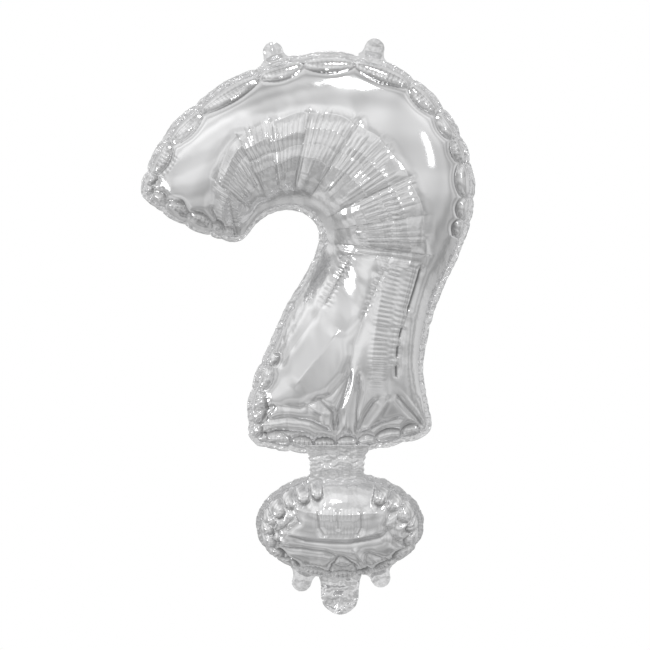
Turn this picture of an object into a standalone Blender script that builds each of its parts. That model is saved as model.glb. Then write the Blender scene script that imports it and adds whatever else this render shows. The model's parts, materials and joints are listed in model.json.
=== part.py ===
"""Question mark foil balloon: a hook of metallised film, a round dot hung under it by a film neck.

Metres, +Z up, +X to the right as seen from the front, which faces -Y. The weld of the hook lies in
the plane Y = 0. The origin is midway between the two tabs on top, where the balloon is hung.
"""

import math

import bmesh
import bpy
import numpy as np
from mathutils import Matrix, Vector
from mathutils.geometry import delaunay_2d_cdt

MM = 0.001

GAP = 0.3 * MM  # between pieces that touch
FILM_WALL = 1.6 * MM  # the real film is under 0.1 mm
WELD_THICK = 1.0 * MM
FLANGE = 5.0 * MM  # welded margin outside the air chamber
SCALLOP_DEPTH = 0.9 * MM
SCALLOP_PITCH = 21 * MM
CORNER_ROUND = 11 * MM
HOOK_FULLNESS = 0.93  # 1 is a round tube
DOT_FULLNESS = 0.90

# The weld line of the hook, clockwise from the tip of its free end, in mm as (x, z).
HOOK_OVER = [
    (-110, -88), (-106, -73), (-95, -57), (-79, -40), (-59, -26), (-37, -15), (-14, -9), (10, -7),
    (34, -12), (51, -21), (66, -34), (78, -50), (85, -67), (88, -86), (86, -105), (81, -121),
    (74, -137), (66, -154), (60, -175), (56.5, -198), (58, -214), (63, -235),
]
HOOK_FOOT = [(63, -235), (47, -241), (28, -245), (8, -247), (-15, -247), (-31, -246), (-42, -241)]
HOOK_UNDER = [
    (-42, -241), (-44, -229), (-41, -214), (-36, -200), (-30, -187), (-25, -174), (-17, -157),
    (-6, -140), (0.5, -126), (2, -114), (-2.5, -103), (-13, -96.5), (-26, -95), (-38, -99),
    (-47, -106), (-53, -116),
]
HOOK_END = [(-53, -116), (-68, -117), (-83, -109), (-98, -99), (-107, -93), (-110, -88)]

NECK_X = 8 * MM
NECK_WIDTH = 33.5 * MM
NECK_FLARE = 4.5 * MM
NECK_THICK = 2.4 * MM
NECK_TOP_Z = -252.3 * MM
NECK_HINGE_Z = -261.3 * MM

DOT_OFFSET_X = 2 * MM  # the dot's middle from the neck's
DOT_HALF_WIDTH = 47.2 * MM
DOT_HALF_HEIGHT = 31.6 * MM
DOT_TILT_DEG = 25.0  # its foot hangs back from the viewer

TAB_WIDTH = 12 * MM
TOP_TAB_LENGTH = 11 * MM
TOP_TABS = {"top_tab_left": (-30.1 * MM, -8.0), "top_tab_right": (29.8 * MM, 9.0)}  # x, lean in degrees
LOW_TABS = {"bottom_tab_left": (-20.1 * MM, 12.4 * MM), "bottom_tab_right": (26.0 * MM, 10.5 * MM)}
TAIL_WIDTH = 23.2 * MM
TAIL_LENGTH = 23.6 * MM
FLAP_THICK = 1.0 * MM
FLAP_ROOT_GAP = FLAP_THICK / 2 + GAP
SEAT_SPARE = 1 * MM

HOOK_EDGE_STEP = 5.5 * MM
DOT_EDGE_STEP = 5.5 * MM
HOOK_CELL = 9 * MM
DOT_CELL = 7 * MM
EDGE_ROW = 2.6 * MM  # a row of points close inside the weld, where the film turns steeply
DENSE_STEP = 0.5 * MM


def smooth_run(points, step):
    """Points every step along a Catmull-Rom curve through points."""
    p = np.array([points[0], *points, points[-1]], float)
    p[0] += points[0] - np.array(points[1], float)
    p[-1] += points[-1] - np.array(points[-2], float)
    dense = []
    for a, b, c, d in zip(p, p[1:], p[2:], p[3:]):
        count = max(2, int(np.linalg.norm(c - b) / step))
        for t in np.arange(count) / count:
            dense.append(
                0.5 * (2 * b + (c - a) * t + (2 * a - 5 * b + 4 * c - d) * t**2
                       + (3 * b - a - 3 * c + d) * t**3)
            )
    dense.append(p[-2])
    return np.array(dense)


def even_loop(loop, step):
    """A closed line through loop with its points evenly spaced, about step apart."""
    closed = np.vstack([loop, loop[:1]])
    run = np.concatenate([[0], np.cumsum(np.linalg.norm(np.diff(closed, axis=0), axis=1))])
    at = np.linspace(0, run[-1], max(12, round(run[-1] / step)), endpoint=False)
    return np.stack([np.interp(at, run, closed[:, k]) for k in (0, 1)], axis=1)


def rounded(loop, reach):
    """A dense closed line with its corners rounded, by a running mean over reach."""
    half = max(1, int(reach / DENSE_STEP / 2))
    return sum(np.roll(loop, k, axis=0) for k in range(-half, half + 1)) / (2 * half + 1)


def anticlockwise(loop):
    x, z = loop.T
    area = np.sum(x * np.roll(z, -1) - np.roll(x, -1) * z) / 2
    return loop if area > 0 else loop[::-1]


def hook_weld():
    runs = [smooth_run(np.array(run) * MM, DENSE_STEP)[:-1]
            for run in (HOOK_OVER, HOOK_FOOT, HOOK_UNDER, HOOK_END)]
    loop = even_loop(np.vstack(runs), DENSE_STEP)
    return even_loop(anticlockwise(rounded(loop, CORNER_ROUND)), HOOK_EDGE_STEP)


def dot_centre():
    """The dot's middle in its own plane, measured from the neck's hinge."""
    return np.array([DOT_OFFSET_X, -(NECK_THICK / 2 + GAP + FLANGE + DOT_HALF_HEIGHT)])


def ellipse(half_width, half_height, step):
    turn = np.linspace(0, 2 * math.pi, 720, endpoint=False)
    loop = np.stack([half_width * np.cos(turn), half_height * np.sin(turn)], axis=1)
    return even_loop(loop + dot_centre(), step)


def outward(loop):
    """The unit normal at each point of an anticlockwise loop."""
    along = np.roll(loop, -1, axis=0) - np.roll(loop, 1, axis=0)
    along /= np.linalg.norm(along, axis=1)[:, None]
    return np.stack([along[:, 1], -along[:, 0]], axis=1)


def inside(points, loop):
    """Which points lie inside a closed loop."""
    x, z = points[:, :1], points[:, 1:]
    (ax, az), (bx, bz) = loop.T, np.roll(loop, -1, axis=0).T
    crosses = (az > z) != (bz > z)
    at = ax + (z - az) / np.where(bz == az, 1, bz - az) * (bx - ax)
    return (crosses & (x < at)).sum(axis=1) % 2 == 1


def lattice(loop, cell, clear):
    """A hexagonal lattice inside a loop, at least clear away from its points."""
    low, high = loop.min(axis=0), loop.max(axis=0)
    row = cell * math.sqrt(3) / 2
    points = []
    for j in range(int((high[1] - low[1]) / row) + 2):
        shift = cell / 2 if j % 2 else 0
        for i in range(int((high[0] - low[0]) / cell) + 2):
            points.append((low[0] + shift + i * cell, low[1] + j * row))
    points = np.array(points)
    points = points[inside(points, loop)]
    away = np.linalg.norm(points[:, None] - loop[None], axis=2).min(axis=1)
    return points[away > clear]


def flat_mesh(loop, cell):
    """(points, triangles, count of points on the loop) of the flat film inside a weld line."""
    edge_row = loop - outward(loop) * EDGE_ROW
    middle = lattice(edge_row, cell, cell * 0.55)
    points = np.vstack([loop, edge_row, middle])
    ring = [(i, (i + 1) % len(loop)) for i in range(len(loop))]
    flat = [Vector(p / MM) for p in points]
    out, _, faces, origin, _, _ = delaunay_2d_cdt(flat, ring, [], 1, 1e-5)
    order = [source[0] for source in origin]
    triangles = np.array([[order[i] for i in face] for face in faces])
    a, b, c = (points[triangles[:, k]] for k in range(3))
    turned = (b - a)[:, 0] * (c - a)[:, 1] - (b - a)[:, 1] * (c - a)[:, 0] < 0
    triangles[turned] = triangles[turned][:, ::-1]
    return points, triangles, len(loop)


def billow(points, triangles, edge_count, fullness):
    """How far the film stands off the weld plane: on a long strip it is a round tube."""
    n = len(points)
    stiff, load = np.zeros((n, n)), np.zeros(n)
    for k in range(3):
        i, j, tip = triangles[:, k], triangles[:, (k + 1) % 3], triangles[:, (k + 2) % 3]
        u, v = points[i] - points[tip], points[j] - points[tip]
        cross = u[:, 0] * v[:, 1] - u[:, 1] * v[:, 0]
        weight = (u * v).sum(axis=1) / cross / 2
        np.add.at(stiff, (i, j), -weight)
        np.add.at(stiff, (j, i), -weight)
        np.add.at(stiff, (i, i), weight)
        np.add.at(stiff, (j, j), weight)
        np.add.at(load, tip, cross / 6)
    free = np.arange(edge_count, n)
    height = np.zeros(n)
    height[free] = np.linalg.solve(stiff[np.ix_(free, free)], load[free])
    return fullness * np.sqrt(2 * np.maximum(height, 0))


def point_normals(points, triangles):
    a, b, c = (points[triangles[:, k]] for k in range(3))
    face = np.cross(b - a, c - a)
    total = np.zeros_like(points)
    for k in range(3):
        np.add.at(total, triangles[:, k], face)
    return total / np.linalg.norm(total, axis=1)[:, None]


def film_panel(name, loop, cell, fullness, side, material):
    """One inflated half, a thin shell open towards the weld. side is -1 in front and 1 behind."""
    flat, triangles, edge_count = flat_mesh(loop, cell)
    height = billow(flat, triangles, edge_count, fullness)
    outer = np.stack([flat[:, 0], side * (GAP / 2 + height), flat[:, 1]], axis=1)
    if side > 0:
        triangles = triangles[:, ::-1]
    normals = point_normals(outer, triangles)
    across = outward(loop)
    normals[:edge_count] = np.stack([across[:, 0], 0 * across[:, 0], across[:, 1]], axis=1)
    inner = outer - normals * FILM_WALL
    n = len(outer)
    faces = triangles.tolist() + (triangles[:, ::-1] + n).tolist()
    for i in range(edge_count):
        j = (i + 1) % edge_count
        rim = [i, i + n, j + n, j]
        faces.append(rim if side < 0 else rim[::-1])
    return new_piece(name, np.vstack([outer, inner]), faces, material)


def seam(name, loop, seats, material):
    """The welded margin: a flat ribbon with a wavy edge, straight where a flap grows from it."""
    inner = loop + outward(loop) * GAP
    run = np.arange(len(loop)) * np.linalg.norm(loop[1] - loop[0])
    wave = np.abs(np.sin(math.pi * run / SCALLOP_PITCH)) * bulging(loop)
    outer = loop + outward(loop) * (FLANGE - SCALLOP_DEPTH + wave * SCALLOP_DEPTH)[:, None]
    for centre, along_deg, half in seats:
        along = np.array([math.cos(math.radians(along_deg)), math.sin(math.radians(along_deg))])
        off = outer - centre
        lateral = np.abs(off @ along)
        across = np.array([-along[1], along[0]])
        near = (lateral < half) & (np.abs(off @ across) < FLANGE)
        outer[near] -= np.outer(off[near] @ across, across)
    n = len(loop)
    points = []
    for flat, y in ((outer, -1), (outer, 1), (inner, 1), (inner, -1)):
        for x, z in flat:
            points.append((x, y * WELD_THICK / 2, z))
    faces = []
    for i in range(n):
        j = (i + 1) % n
        for k in range(4):
            a, b = k * n, (k + 1) % 4 * n
            faces.append((a + i, b + i, b + j, a + j))
    return new_piece(name, points, faces, material)


def bulging(loop):
    """1 where a loop is convex and 0 where it turns inwards, evened out over a few points."""
    before, after = np.roll(loop, 3, axis=0), np.roll(loop, -3, axis=0)
    u, v = loop - before, after - loop
    bends = (u[:, 0] * v[:, 1] - u[:, 1] * v[:, 0] > 0).astype(float)
    return sum(np.roll(bends, k) for k in range(-2, 3)) / 5


def flap(name, width, length, lean_deg, thick, material, round_end=True, flare=0.0):
    """A flat lug that hangs down from a hinge line at its own origin, its top edge rounded."""
    half, drift = width / 2, math.tan(math.radians(lean_deg))
    straight = max(length - half, 0) if round_end else length
    outline = [(half + flare, thick / 2)]
    for drop in np.linspace(0, straight, 4):
        outline.append((half + flare * max(0, 1 - drop / (length / 2)) ** 2 + drift * drop, -drop))
    if round_end:
        for turn in np.linspace(0, math.pi, 13)[1:-1]:
            drop = straight + (length - straight) * math.sin(turn)
            outline.append((half * math.cos(turn) + drift * drop, -drop))
    for x, z in reversed(outline[: 5]):
        outline.append((-x + 2 * drift * max(-z, 0), z))
    bm = bmesh.new()
    front = bm.faces.new([bm.verts.new((x, -thick / 2, z)) for x, z in reversed(outline)])
    grown = bmesh.ops.extrude_face_region(bm, geom=[front])["geom"]
    bmesh.ops.translate(bm, verts=[v for v in grown if isinstance(v, bmesh.types.BMVert)],
                        vec=(0, thick, 0))
    bmesh.ops.recalc_face_normals(bm, faces=bm.faces)
    ends = [thick / 2] if round_end else [thick / 2, min(z for _, z in outline)]
    root = [e for e in bm.edges
            if any(abs(e.verts[0].co.z - z) < 1e-7 and abs(e.verts[1].co.z - z) < 1e-7
                   for z in ends) and abs(e.verts[0].co.x - e.verts[1].co.x) > half]
    bmesh.ops.bevel(bm, geom=root, offset=thick * 0.45, segments=3, profile=0.5, affect="EDGES")
    bmesh.ops.remove_doubles(bm, verts=bm.verts, dist=1e-6)
    mesh = bpy.data.meshes.new(name)
    bm.to_mesh(mesh)
    bm.free()
    return as_object(name, mesh, material)


def new_piece(name, points, faces, material):
    mesh = bpy.data.meshes.new(name)
    mesh.from_pydata([tuple(map(float, p)) for p in points], [], faces)
    return as_object(name, mesh, material)


def as_object(name, mesh, material):
    mesh.validate()
    mesh.shade_smooth()
    mesh.set_sharp_from_angle(angle=math.radians(50))
    mesh.materials.append(material)
    piece = bpy.data.objects.new(name, mesh)
    bpy.context.scene.collection.objects.link(piece)
    return piece


def hinge(name, place, turn, parent=None):
    """An empty on a fold line, whose own X runs along the fold."""
    empty = bpy.data.objects.new(name, None)
    bpy.context.scene.collection.objects.link(empty)
    empty.empty_display_size = 10 * MM
    empty.parent = parent
    empty.matrix_basis = Matrix.Translation(place) @ turn
    return empty


def foil(name, shade, roughness):
    material = bpy.data.materials.new(name)
    material.use_nodes = True
    shader = material.node_tree.nodes["Principled BSDF"]
    shader.inputs["Base Color"].default_value = (shade, shade, shade * 1.01, 1)
    shader.inputs["Metallic"].default_value = 1.0
    shader.inputs["Roughness"].default_value = roughness
    return material


def flange_at(loop, x, top):
    """(point on the margin's outer edge above or below a given x, the edge's slope in degrees)."""
    edge = loop + outward(loop) * FLANGE
    side = edge[outward(loop)[:, 1] > 0.5] if top else edge[outward(loop)[:, 1] < -0.5]
    side = side[np.argsort(side[:, 0])]
    z = np.interp([x - TAB_WIDTH / 2, x, x + TAB_WIDTH / 2], side[:, 0], side[:, 1])
    return np.array([x, z[1]]), math.degrees(math.atan2(z[2] - z[0], TAB_WIDTH))


def rounded_plate_turn(along_deg, up):
    """In-plane turn that lays a flap's fold along the margin, pointing up or down from it."""
    return Matrix.Rotation(math.radians(-along_deg + (180 if up else 0)), 4, "Y")


def make_hook(film, weld):
    loop = hook_weld()
    film_panel("hook_front_panel", loop, HOOK_CELL, HOOK_FULLNESS, -1, film)
    film_panel("hook_back_panel", loop, HOOK_CELL, HOOK_FULLNESS, 1, film)
    seats = [(np.array([NECK_X, NECK_TOP_Z]), 0.0, NECK_WIDTH / 2 + NECK_FLARE)]
    for name, (x, lean) in TOP_TABS.items():
        centre, slope = flange_at(loop, x, top=True)
        seats.append((centre, slope, TAB_WIDTH / 2 + SEAT_SPARE))
        tab = flap(name, TAB_WIDTH, TOP_TAB_LENGTH, -slope - lean, FLAP_THICK, film)
        slant = math.radians(slope)
        root = centre + FLAP_ROOT_GAP * np.array([-math.sin(slant), math.cos(slant)])
        tab.parent = hinge(name + "_fold", (root[0], 0, root[1]), rounded_plate_turn(slope, True))
    seam("hook_seam", loop, seats, weld)


def make_neck(film):
    """Its lower edge is rounded about the fold from which the dot hangs."""
    length = NECK_TOP_Z - GAP - NECK_THICK / 2 - NECK_HINGE_Z
    neck = flap("neck", NECK_WIDTH, length + NECK_THICK / 2, 0.0, NECK_THICK, film,
                round_end=False, flare=NECK_FLARE)
    neck.location = (NECK_X, 0, NECK_HINGE_Z + length)


def make_dot(film, weld):
    fold = hinge("neck_fold", (NECK_X, 0, NECK_HINGE_Z),
                 Matrix.Rotation(math.radians(DOT_TILT_DEG), 4, "X"))
    loop = ellipse(DOT_HALF_WIDTH, DOT_HALF_HEIGHT, DOT_EDGE_STEP)
    pieces = [
        film_panel("dot_front_panel", loop, DOT_CELL, DOT_FULLNESS, -1, film),
        film_panel("dot_back_panel", loop, DOT_CELL, DOT_FULLNESS, 1, film),
    ]
    neck_seat = (np.array([0, -NECK_THICK / 2 - GAP]), 0.0, NECK_WIDTH / 2 + SEAT_SPARE)
    seats = [neck_seat]
    hang_down = Matrix.Rotation(math.radians(-DOT_TILT_DEG), 4, "X")
    lugs = [(name, x, TAB_WIDTH, length) for name, (x, length) in LOW_TABS.items()]
    lugs.append(("inflation_tail", DOT_OFFSET_X, TAIL_WIDTH, TAIL_LENGTH))
    for name, x, width, length in lugs:
        centre, slope = flange_at(loop, x, top=False)
        seats.append((centre, slope, width / 2 + SEAT_SPARE))
        piece = flap(name, width, length, -slope, FLAP_THICK, film)
        slant = math.radians(slope)
        root = centre + FLAP_ROOT_GAP * np.array([math.sin(slant), -math.cos(slant)])
        turn = rounded_plate_turn(slope, False) @ hang_down
        piece.parent = hinge(name + "_fold", (root[0], 0, root[1]), turn, fold)
    pieces.append(seam("dot_seam", loop, seats, weld))
    for piece in pieces:
        piece.parent = fold


def main():
    for old in list(bpy.data.objects):
        bpy.data.objects.remove(old)
    film = foil("silver_film", 0.80, 0.12)
    weld = foil("silver_weld", 0.72, 0.28)
    make_hook(film, weld)
    make_neck(film)
    make_dot(film, weld)
    bpy.context.view_layer.update()


main()
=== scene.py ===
"""Question mark foil balloon: its inflated films, weld margins, neck, tabs, tail and the studio.

Metres, +Z up, and the front faces -Y. Each film is cut flat, welded round its edge and blown up by a
small solver, which gives its broad shape; its folds, cells and wrinkles are drawn on from the tables
below. The solver works in millimetres.
"""

import math

import bmesh
import bpy
import numpy as np
from bpy.props import FloatProperty, FloatVectorProperty, IntProperty, PointerProperty
from mathutils import Matrix, Vector
from mathutils.geometry import delaunay_2d_cdt
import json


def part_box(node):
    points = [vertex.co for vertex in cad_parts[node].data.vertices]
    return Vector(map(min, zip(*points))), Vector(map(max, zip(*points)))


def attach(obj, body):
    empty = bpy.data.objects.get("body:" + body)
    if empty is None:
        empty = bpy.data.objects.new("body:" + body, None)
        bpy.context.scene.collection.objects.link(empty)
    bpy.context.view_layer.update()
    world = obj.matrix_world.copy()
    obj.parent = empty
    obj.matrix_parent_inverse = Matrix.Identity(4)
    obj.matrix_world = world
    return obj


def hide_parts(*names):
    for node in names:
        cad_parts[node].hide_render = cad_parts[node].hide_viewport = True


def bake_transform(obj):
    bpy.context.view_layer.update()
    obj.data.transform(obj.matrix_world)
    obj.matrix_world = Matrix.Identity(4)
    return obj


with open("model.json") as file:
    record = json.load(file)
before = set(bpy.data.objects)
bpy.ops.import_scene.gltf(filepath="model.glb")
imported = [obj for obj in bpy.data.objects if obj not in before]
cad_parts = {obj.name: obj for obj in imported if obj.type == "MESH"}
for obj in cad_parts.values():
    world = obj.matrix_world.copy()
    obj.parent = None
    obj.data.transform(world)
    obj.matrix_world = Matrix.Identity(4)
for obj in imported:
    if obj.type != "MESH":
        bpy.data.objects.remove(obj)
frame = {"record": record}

bl_info = {
    "name": "Question mark foil balloon",
    "version": (1, 0, 0),
    "blender": (4, 5, 0),
    "location": "View3D > Sidebar > Foil balloon",
    "description": "Cuts, welds and inflates the films of a question mark balloon round its frame",
    "category": "Add Mesh",
}

MM = 0.001
JOINTS = {joint["name"]: joint for joint in frame["record"]["behaviour"]["joints"]}
NECK_FOLD = Vector(JOINTS["neck_flex"]["pos_m"])
DOT_TILT = math.radians(25)  # the dot's foot hangs back from the viewer
FLANGE = 5.0  # from the weld lines that the tables give to the cut edge, in mm

# Lines across the hook's tube as (outer end, inner end), from the free end to the foot, x and z in mm.
HOOK_RUNGS = [
    ((-110, -88), (-53, -116)), ((-95, -57), (-48, -107.5)), ((-75, -37), (-43, -102.5)),
    ((-50, -21), (-34, -97)), ((-20, -10), (-25, -95)), ((14, -8), (-16, -95.7)),
    ((46, -18), (-8, -99)), ((68, -37), (-2.5, -103)), ((83, -62), (1, -109)),
    ((88, -88), (2, -115)), ((84, -112), (1, -123.5)), ((76.5, -132), (-3.5, -136)),
    ((69, -147), (-11, -148.5)), ((62.5, -165), (-19.5, -163)), ((58, -185), (-28.5, -183)),
    ((56.5, -202), (-37, -203)), ((58.5, -217), (-41.5, -218)), ((63, -235), (-42, -241)),
]
# Ends of the puffed cells along the hook's weld, in order round it, x and z in mm.
HOOK_PINCHES = [
    (62.6, -240.4), (49.6, -243.9), (33, -247), (21, -248), (7, -250), (-7, -250), (-20.9, -248.3),
    (-36, -249), (-45.3, -244.8), (-47.9, -233.4), (-41.7, -210.9), (-37.8, -195.5), (-32.2, -186.6), None,
    (-53.5, -123), (-64.9, -123.4), (-72, -119.5), (-87.9, -111.2), (-101.3, -101.3), (-110, -93.4),
    (-113, -84), (-111.2, -75.2), (-99.7, -56.2), (-79.2, -35.7), (-42, -12.7), (-13.1, -5.6),
    (20, -3.5), (54.5, -20.6), (73.1, -38.8), (83, -55.4), (87.3, -70.9), (89.3, -93), (87.3, -107.3),
    (84.6, -117.9), None,
]
# Folds in the hook's front: points in mm, height (a valley below nought), half width, and how much
# shade is painted into the film's colour where the fold closes on itself.
HOOK_FOLDS = [
    ([(4, -129), (14, -129), (35, -129), (62, -133)], -1.5, 9, 0.3),
    ([(15, -131), (8, -143), (-2, -161)], -1.0, 6, 0.3),
    ([(-2, -161), (-21, -187), (-29, -201)], -0.8, 8, 0.0),
    ([(40, -132), (31, -150), (24, -166), (18, -184), (17, -196)], -1.5, 8, 0.2),
    ([(-30, -221), (-15, -223), (4, -215), (14, -203), (17, -190)], -1.7, 7, 0.2),
    ([(10, -174), (-6, -194), (-19, -211)], 1.5, 12, 0.0),
    ([(61, -134), (56, -151), (51, -166)], -1.8, 6, 1.0),
    ([(51, -166), (48, -180), (46, -203)], -1.2, 6, 0.0),
    ([(48.4, -173), (46.6, -180)], -1.2, 3, 1.0),
    ([(45.6, -184), (45, -192)], -1.2, 3, 1.0),
    ([(44.6, -196), (44.6, -204)], -1.2, 3, 1.0),
    ([(38, -133), (34, -158), (31, -180), (29, -205)], 0.9, 6, 0.0),
    ([(7, -240), (5, -226), (-4, -217)], -2.2, 4.5, 0.5),
    ([(7, -240), (9, -226), (13, -212), (17, -198)], -2.4, 4.5, 0.5),
    ([(7, -240), (-8, -232), (-22, -229), (-38, -231)], -2.0, 4.5, 0.3),
    ([(1, -236), (-1, -226), (-12, -220)], 1.4, 4, 0.0),
    ([(13, -238), (14, -224), (18, -208), (19, -196)], 1.9, 5, 0.0),
    ([(20, -241), (20, -226), (22, -212), (21, -200)], -2.2, 4.5, 0.5),
    ([(20, -241), (26, -228), (33, -217)], -2.0, 4.5, 0.3),
    ([(25, -238), (34, -226), (41, -214)], 1.3, 5, 0.0),
    ([(20, -241), (36, -233), (50, -229)], -1.6, 4.5, 0.2),
    ([(64, -237), (56, -227), (44, -214)], -1.8, 5, 0.7),
    ([(-47, -240), (-38, -231), (-30, -221)], -1.5, 5, 0.3),
    ([(-47, -242), (-30, -238), (-12, -238)], -1.4, 4, 0.4),
    ([(-44, -226), (-36, -223), (-30, -221)], -1.4, 4, 0.3),
    ([(-58, -93), (-56, -106), (-52, -121)], -1.4, 5, 0.4),
    ([(-70, -98), (-66, -108), (-57, -120)], -1.4, 5, 0.4),
    ([(-62, -95), (-62, -106), (-54, -121)], 1.1, 4, 0.0),
    ([(-88, -94), (-87, -103), (-88, -109)], -1.2, 4, 0.2),
    ([(-87, -103), (-76, -107), (-64, -118)], -1.4, 5, 0.3),
    ([(-104, -98), (-88, -103)], -0.9, 4, 0.0),
]
# Lines across which fine wrinkles lie like rungs: points in mm, height, half width and spacing.
HOOK_LADDERS = [
    ([(18, -128), (8, -143), (-1, -160)], 0.45, 4.5, 3.0),
    ([(40, -132), (31, -150), (24, -166)], 0.40, 3.5, 3.4),
    ([(56, -133), (50, -152), (45, -172), (42, -200)], 0.32, 5.0, 3.2),
    ([(45, -133), (38, -158), (34, -180), (32, -212)], 0.30, 6.0, 2.9),
    ([(41, -86), (44, -103), (44, -128)], 0.40, 3.5, 3.2),
    ([(-24, -241), (-8, -243), (8, -243), (24, -241)], 0.35, 5.0, 2.9),
    ([(-43, -206), (-38, -222)], 0.25, 6.0, 2.6),
    ([(-90, -66), (-103, -84)], 0.28, 3.5, 2.7),
    ([(-58, -94), (-54, -110)], 0.35, 3.5, 2.6),
]
# The slack fan in the hook's bend: its centre, the reach of each direction in degrees, where the
# strong folds run across it, and where the film kinks along it as a share of the way out.
FAN_MIDDLE = (-24, -118)
FAN_REACH = [(-14, 87), (-9.5, 87), (16.5, 87), (28.5, 83), (56, 84), (79, 77), (115, 67), (141.5, 54), (160, 46)]
FAN_FOLDS = [(-7, 1.5), (9, 0.6), (26, 1.4), (42, 0.5), (57, 1.3), (79, 1.6), (98, 0.5), (115, 1.3), (141, 1.2)]
FAN_KINKS = [(0.30, -0.5), (0.46, 0.8), (0.66, -0.9), (0.80, 0.9), (1.0, -0.8)]
# The same for the dot, measured in its own plane from the neck's fold.
DOT_PINCHES = [
    (-5, -72), (13, -71), (24, -68), (36, -60), (46, -50), (51, -38), (50, -28), (43, -17), (35, -10),
    (24, -6), None, (-9, -4), (-18, -6), (-27, -10), (-36, -16), (-43, -25), (-45, -33), (-46, -41),
    (-42, -51), (-36, -59), (-25, -66),
]
DOT_FOLDS = [
    ([(-32, -35), (-20, -38), (6, -39), (27, -36), (38, -29)], -2.0, 7, 0.4),
    ([(-34, -34), (-12, -34.5), (10, -34.5), (30, -31)], 1.2, 4, 0.0),
    ([(-26, -22), (-34, -32), (-44, -40)], -1.6, 5, 0.5),
    ([(-30, -18), (-24, -26), (-34, -34)], -1.2, 4, 0.3),
    ([(36, -18), (30, -28), (37, -40), (43, -46)], -1.5, 5, 0.3),
    ([(-38, -46), (-22, -44), (-8, -45), (2, -49)], -1.8, 5, 0.4),
    ([(-38, -46), (-30, -55), (-27, -64)], -1.6, 5, 0.5),
    ([(2, -47), (-3, -56), (-6, -71)], -2.0, 5, 0.6),
    ([(2, -47), (11, -56), (14, -70)], -2.0, 5, 0.6),
    ([(-3, -56), (4, -58), (11, -56)], -1.4, 4, 0.3),
    ([(18, -45), (18, -57), (22, -68)], -1.3, 5, 0.2),
    ([(18, -45), (30, -53), (36, -60)], -1.5, 5, 0.3),
    ([(10, -42), (16, -52), (14, -58)], 1.3, 5, 0.0),
    ([(-12, -18), (-11, -28), (-7, -34)], -1.2, 4, 0.4),
    ([(0, -17), (1, -30)], -0.9, 3.5, 0.3),
    ([(15, -18), (15, -28), (12, -34)], -1.2, 4, 0.4),
    ([(-34, -17), (-12, -20), (14, -20), (34, -20)], 1.2, 4.5, 0.0),
    ([(-44, -30), (-36, -38), (-38, -46)], -1.4, 4, 0.4),
    ([(-42, -36), (-30, -42)], 1.1, 4, 0.0),
]
DOT_LADDERS = [
    ([(-24, -58), (-8, -61)], 0.40, 6.0, 2.6),
    ([(-40, -30), (-28, -26)], 0.40, 4.5, 2.4),
    ([(-14, -20), (0, -20), (14, -20)], 0.35, 3.5, 2.3),
    ([(-8, -30), (12, -30)], 0.28, 4.0, 2.1),
    ([(20, -60), (40, -50)], 0.35, 5.0, 2.5),
    ([(44, -38), (45, -28)], 0.35, 3.0, 2.4),
]


class FoilSettings(bpy.types.PropertyGroup):
    film_colour: FloatVectorProperty(
        name="Film colour", description="What the mirror-bright film reflects",
        subtype="COLOR", size=3, default=(0.83, 0.83, 0.835), min=0, max=1)
    weld_colour: FloatVectorProperty(
        name="Weld colour", description="What the crimped margin reflects",
        subtype="COLOR", size=3, default=(0.80, 0.80, 0.805), min=0, max=1)
    film_roughness: FloatProperty(
        name="Film roughness", description="Blur of the reflections on the smooth film",
        subtype="FACTOR", default=0.09, min=0, max=1)
    weld_roughness: FloatProperty(
        name="Weld roughness", description="Blur of the reflections on the crimped margin",
        subtype="FACTOR", default=0.16, min=0, max=1)
    crinkle_height: FloatProperty(
        name="Crinkle height", description="Depth of the crumples in the unstretched film",
        unit="LENGTH", default=0.00035, min=0, max=0.003)
    crinkle_size: FloatProperty(
        name="Crinkle size", description="Distance between two crumples",
        unit="LENGTH", default=0.003, min=0.0005, max=0.02)


class HookSettings(bpy.types.PropertyGroup):
    spread: FloatProperty(
        name="Spread", description="Width of the flat tube over its width when it is blown up",
        default=1.45, min=1, max=1.6)
    opening: FloatProperty(
        name="Opening", description="Extra length of the outer edge over the inner, in the flat film",
        default=1.2, min=1, max=1.7)
    inner_edge: FloatProperty(
        name="Inner edge", description="Length of the flat inner edge over the blown up one",
        default=0.97, min=0.9, max=1.05)
    foot_swell: FloatProperty(
        name="Foot swell", description="How far the flat film bulges at the foot",
        unit="LENGTH", default=0.014, min=0, max=0.04)
    end_swell: FloatProperty(
        name="End swell", description="How far the flat film bulges at the free end",
        unit="LENGTH", default=0.010, min=0, max=0.03)
    margin: FloatProperty(
        name="Margin", description="Width of the crimped margin outside the weld",
        unit="LENGTH", default=0.0032, min=0.001, max=0.005)


class DotSettings(bpy.types.PropertyGroup):
    half_width: FloatProperty(
        name="Half width", description="Of the dot inside its weld",
        unit="LENGTH", default=0.0472, min=0.01, max=0.1)
    half_height: FloatProperty(
        name="Half height", description="Of the dot inside its weld",
        unit="LENGTH", default=0.0316, min=0.01, max=0.1)
    spread_wide: FloatProperty(
        name="Spread across", description="Width of the flat dot over its width when it is blown up",
        default=1.25, min=1, max=1.6)
    spread_high: FloatProperty(
        name="Spread upwards", description="Height of the flat dot over its height when blown up",
        default=1.40, min=1, max=1.6)
    margin: FloatProperty(
        name="Margin", description="Width of the crimped margin outside the weld",
        unit="LENGTH", default=0.0032, min=0.001, max=0.005)


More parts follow.
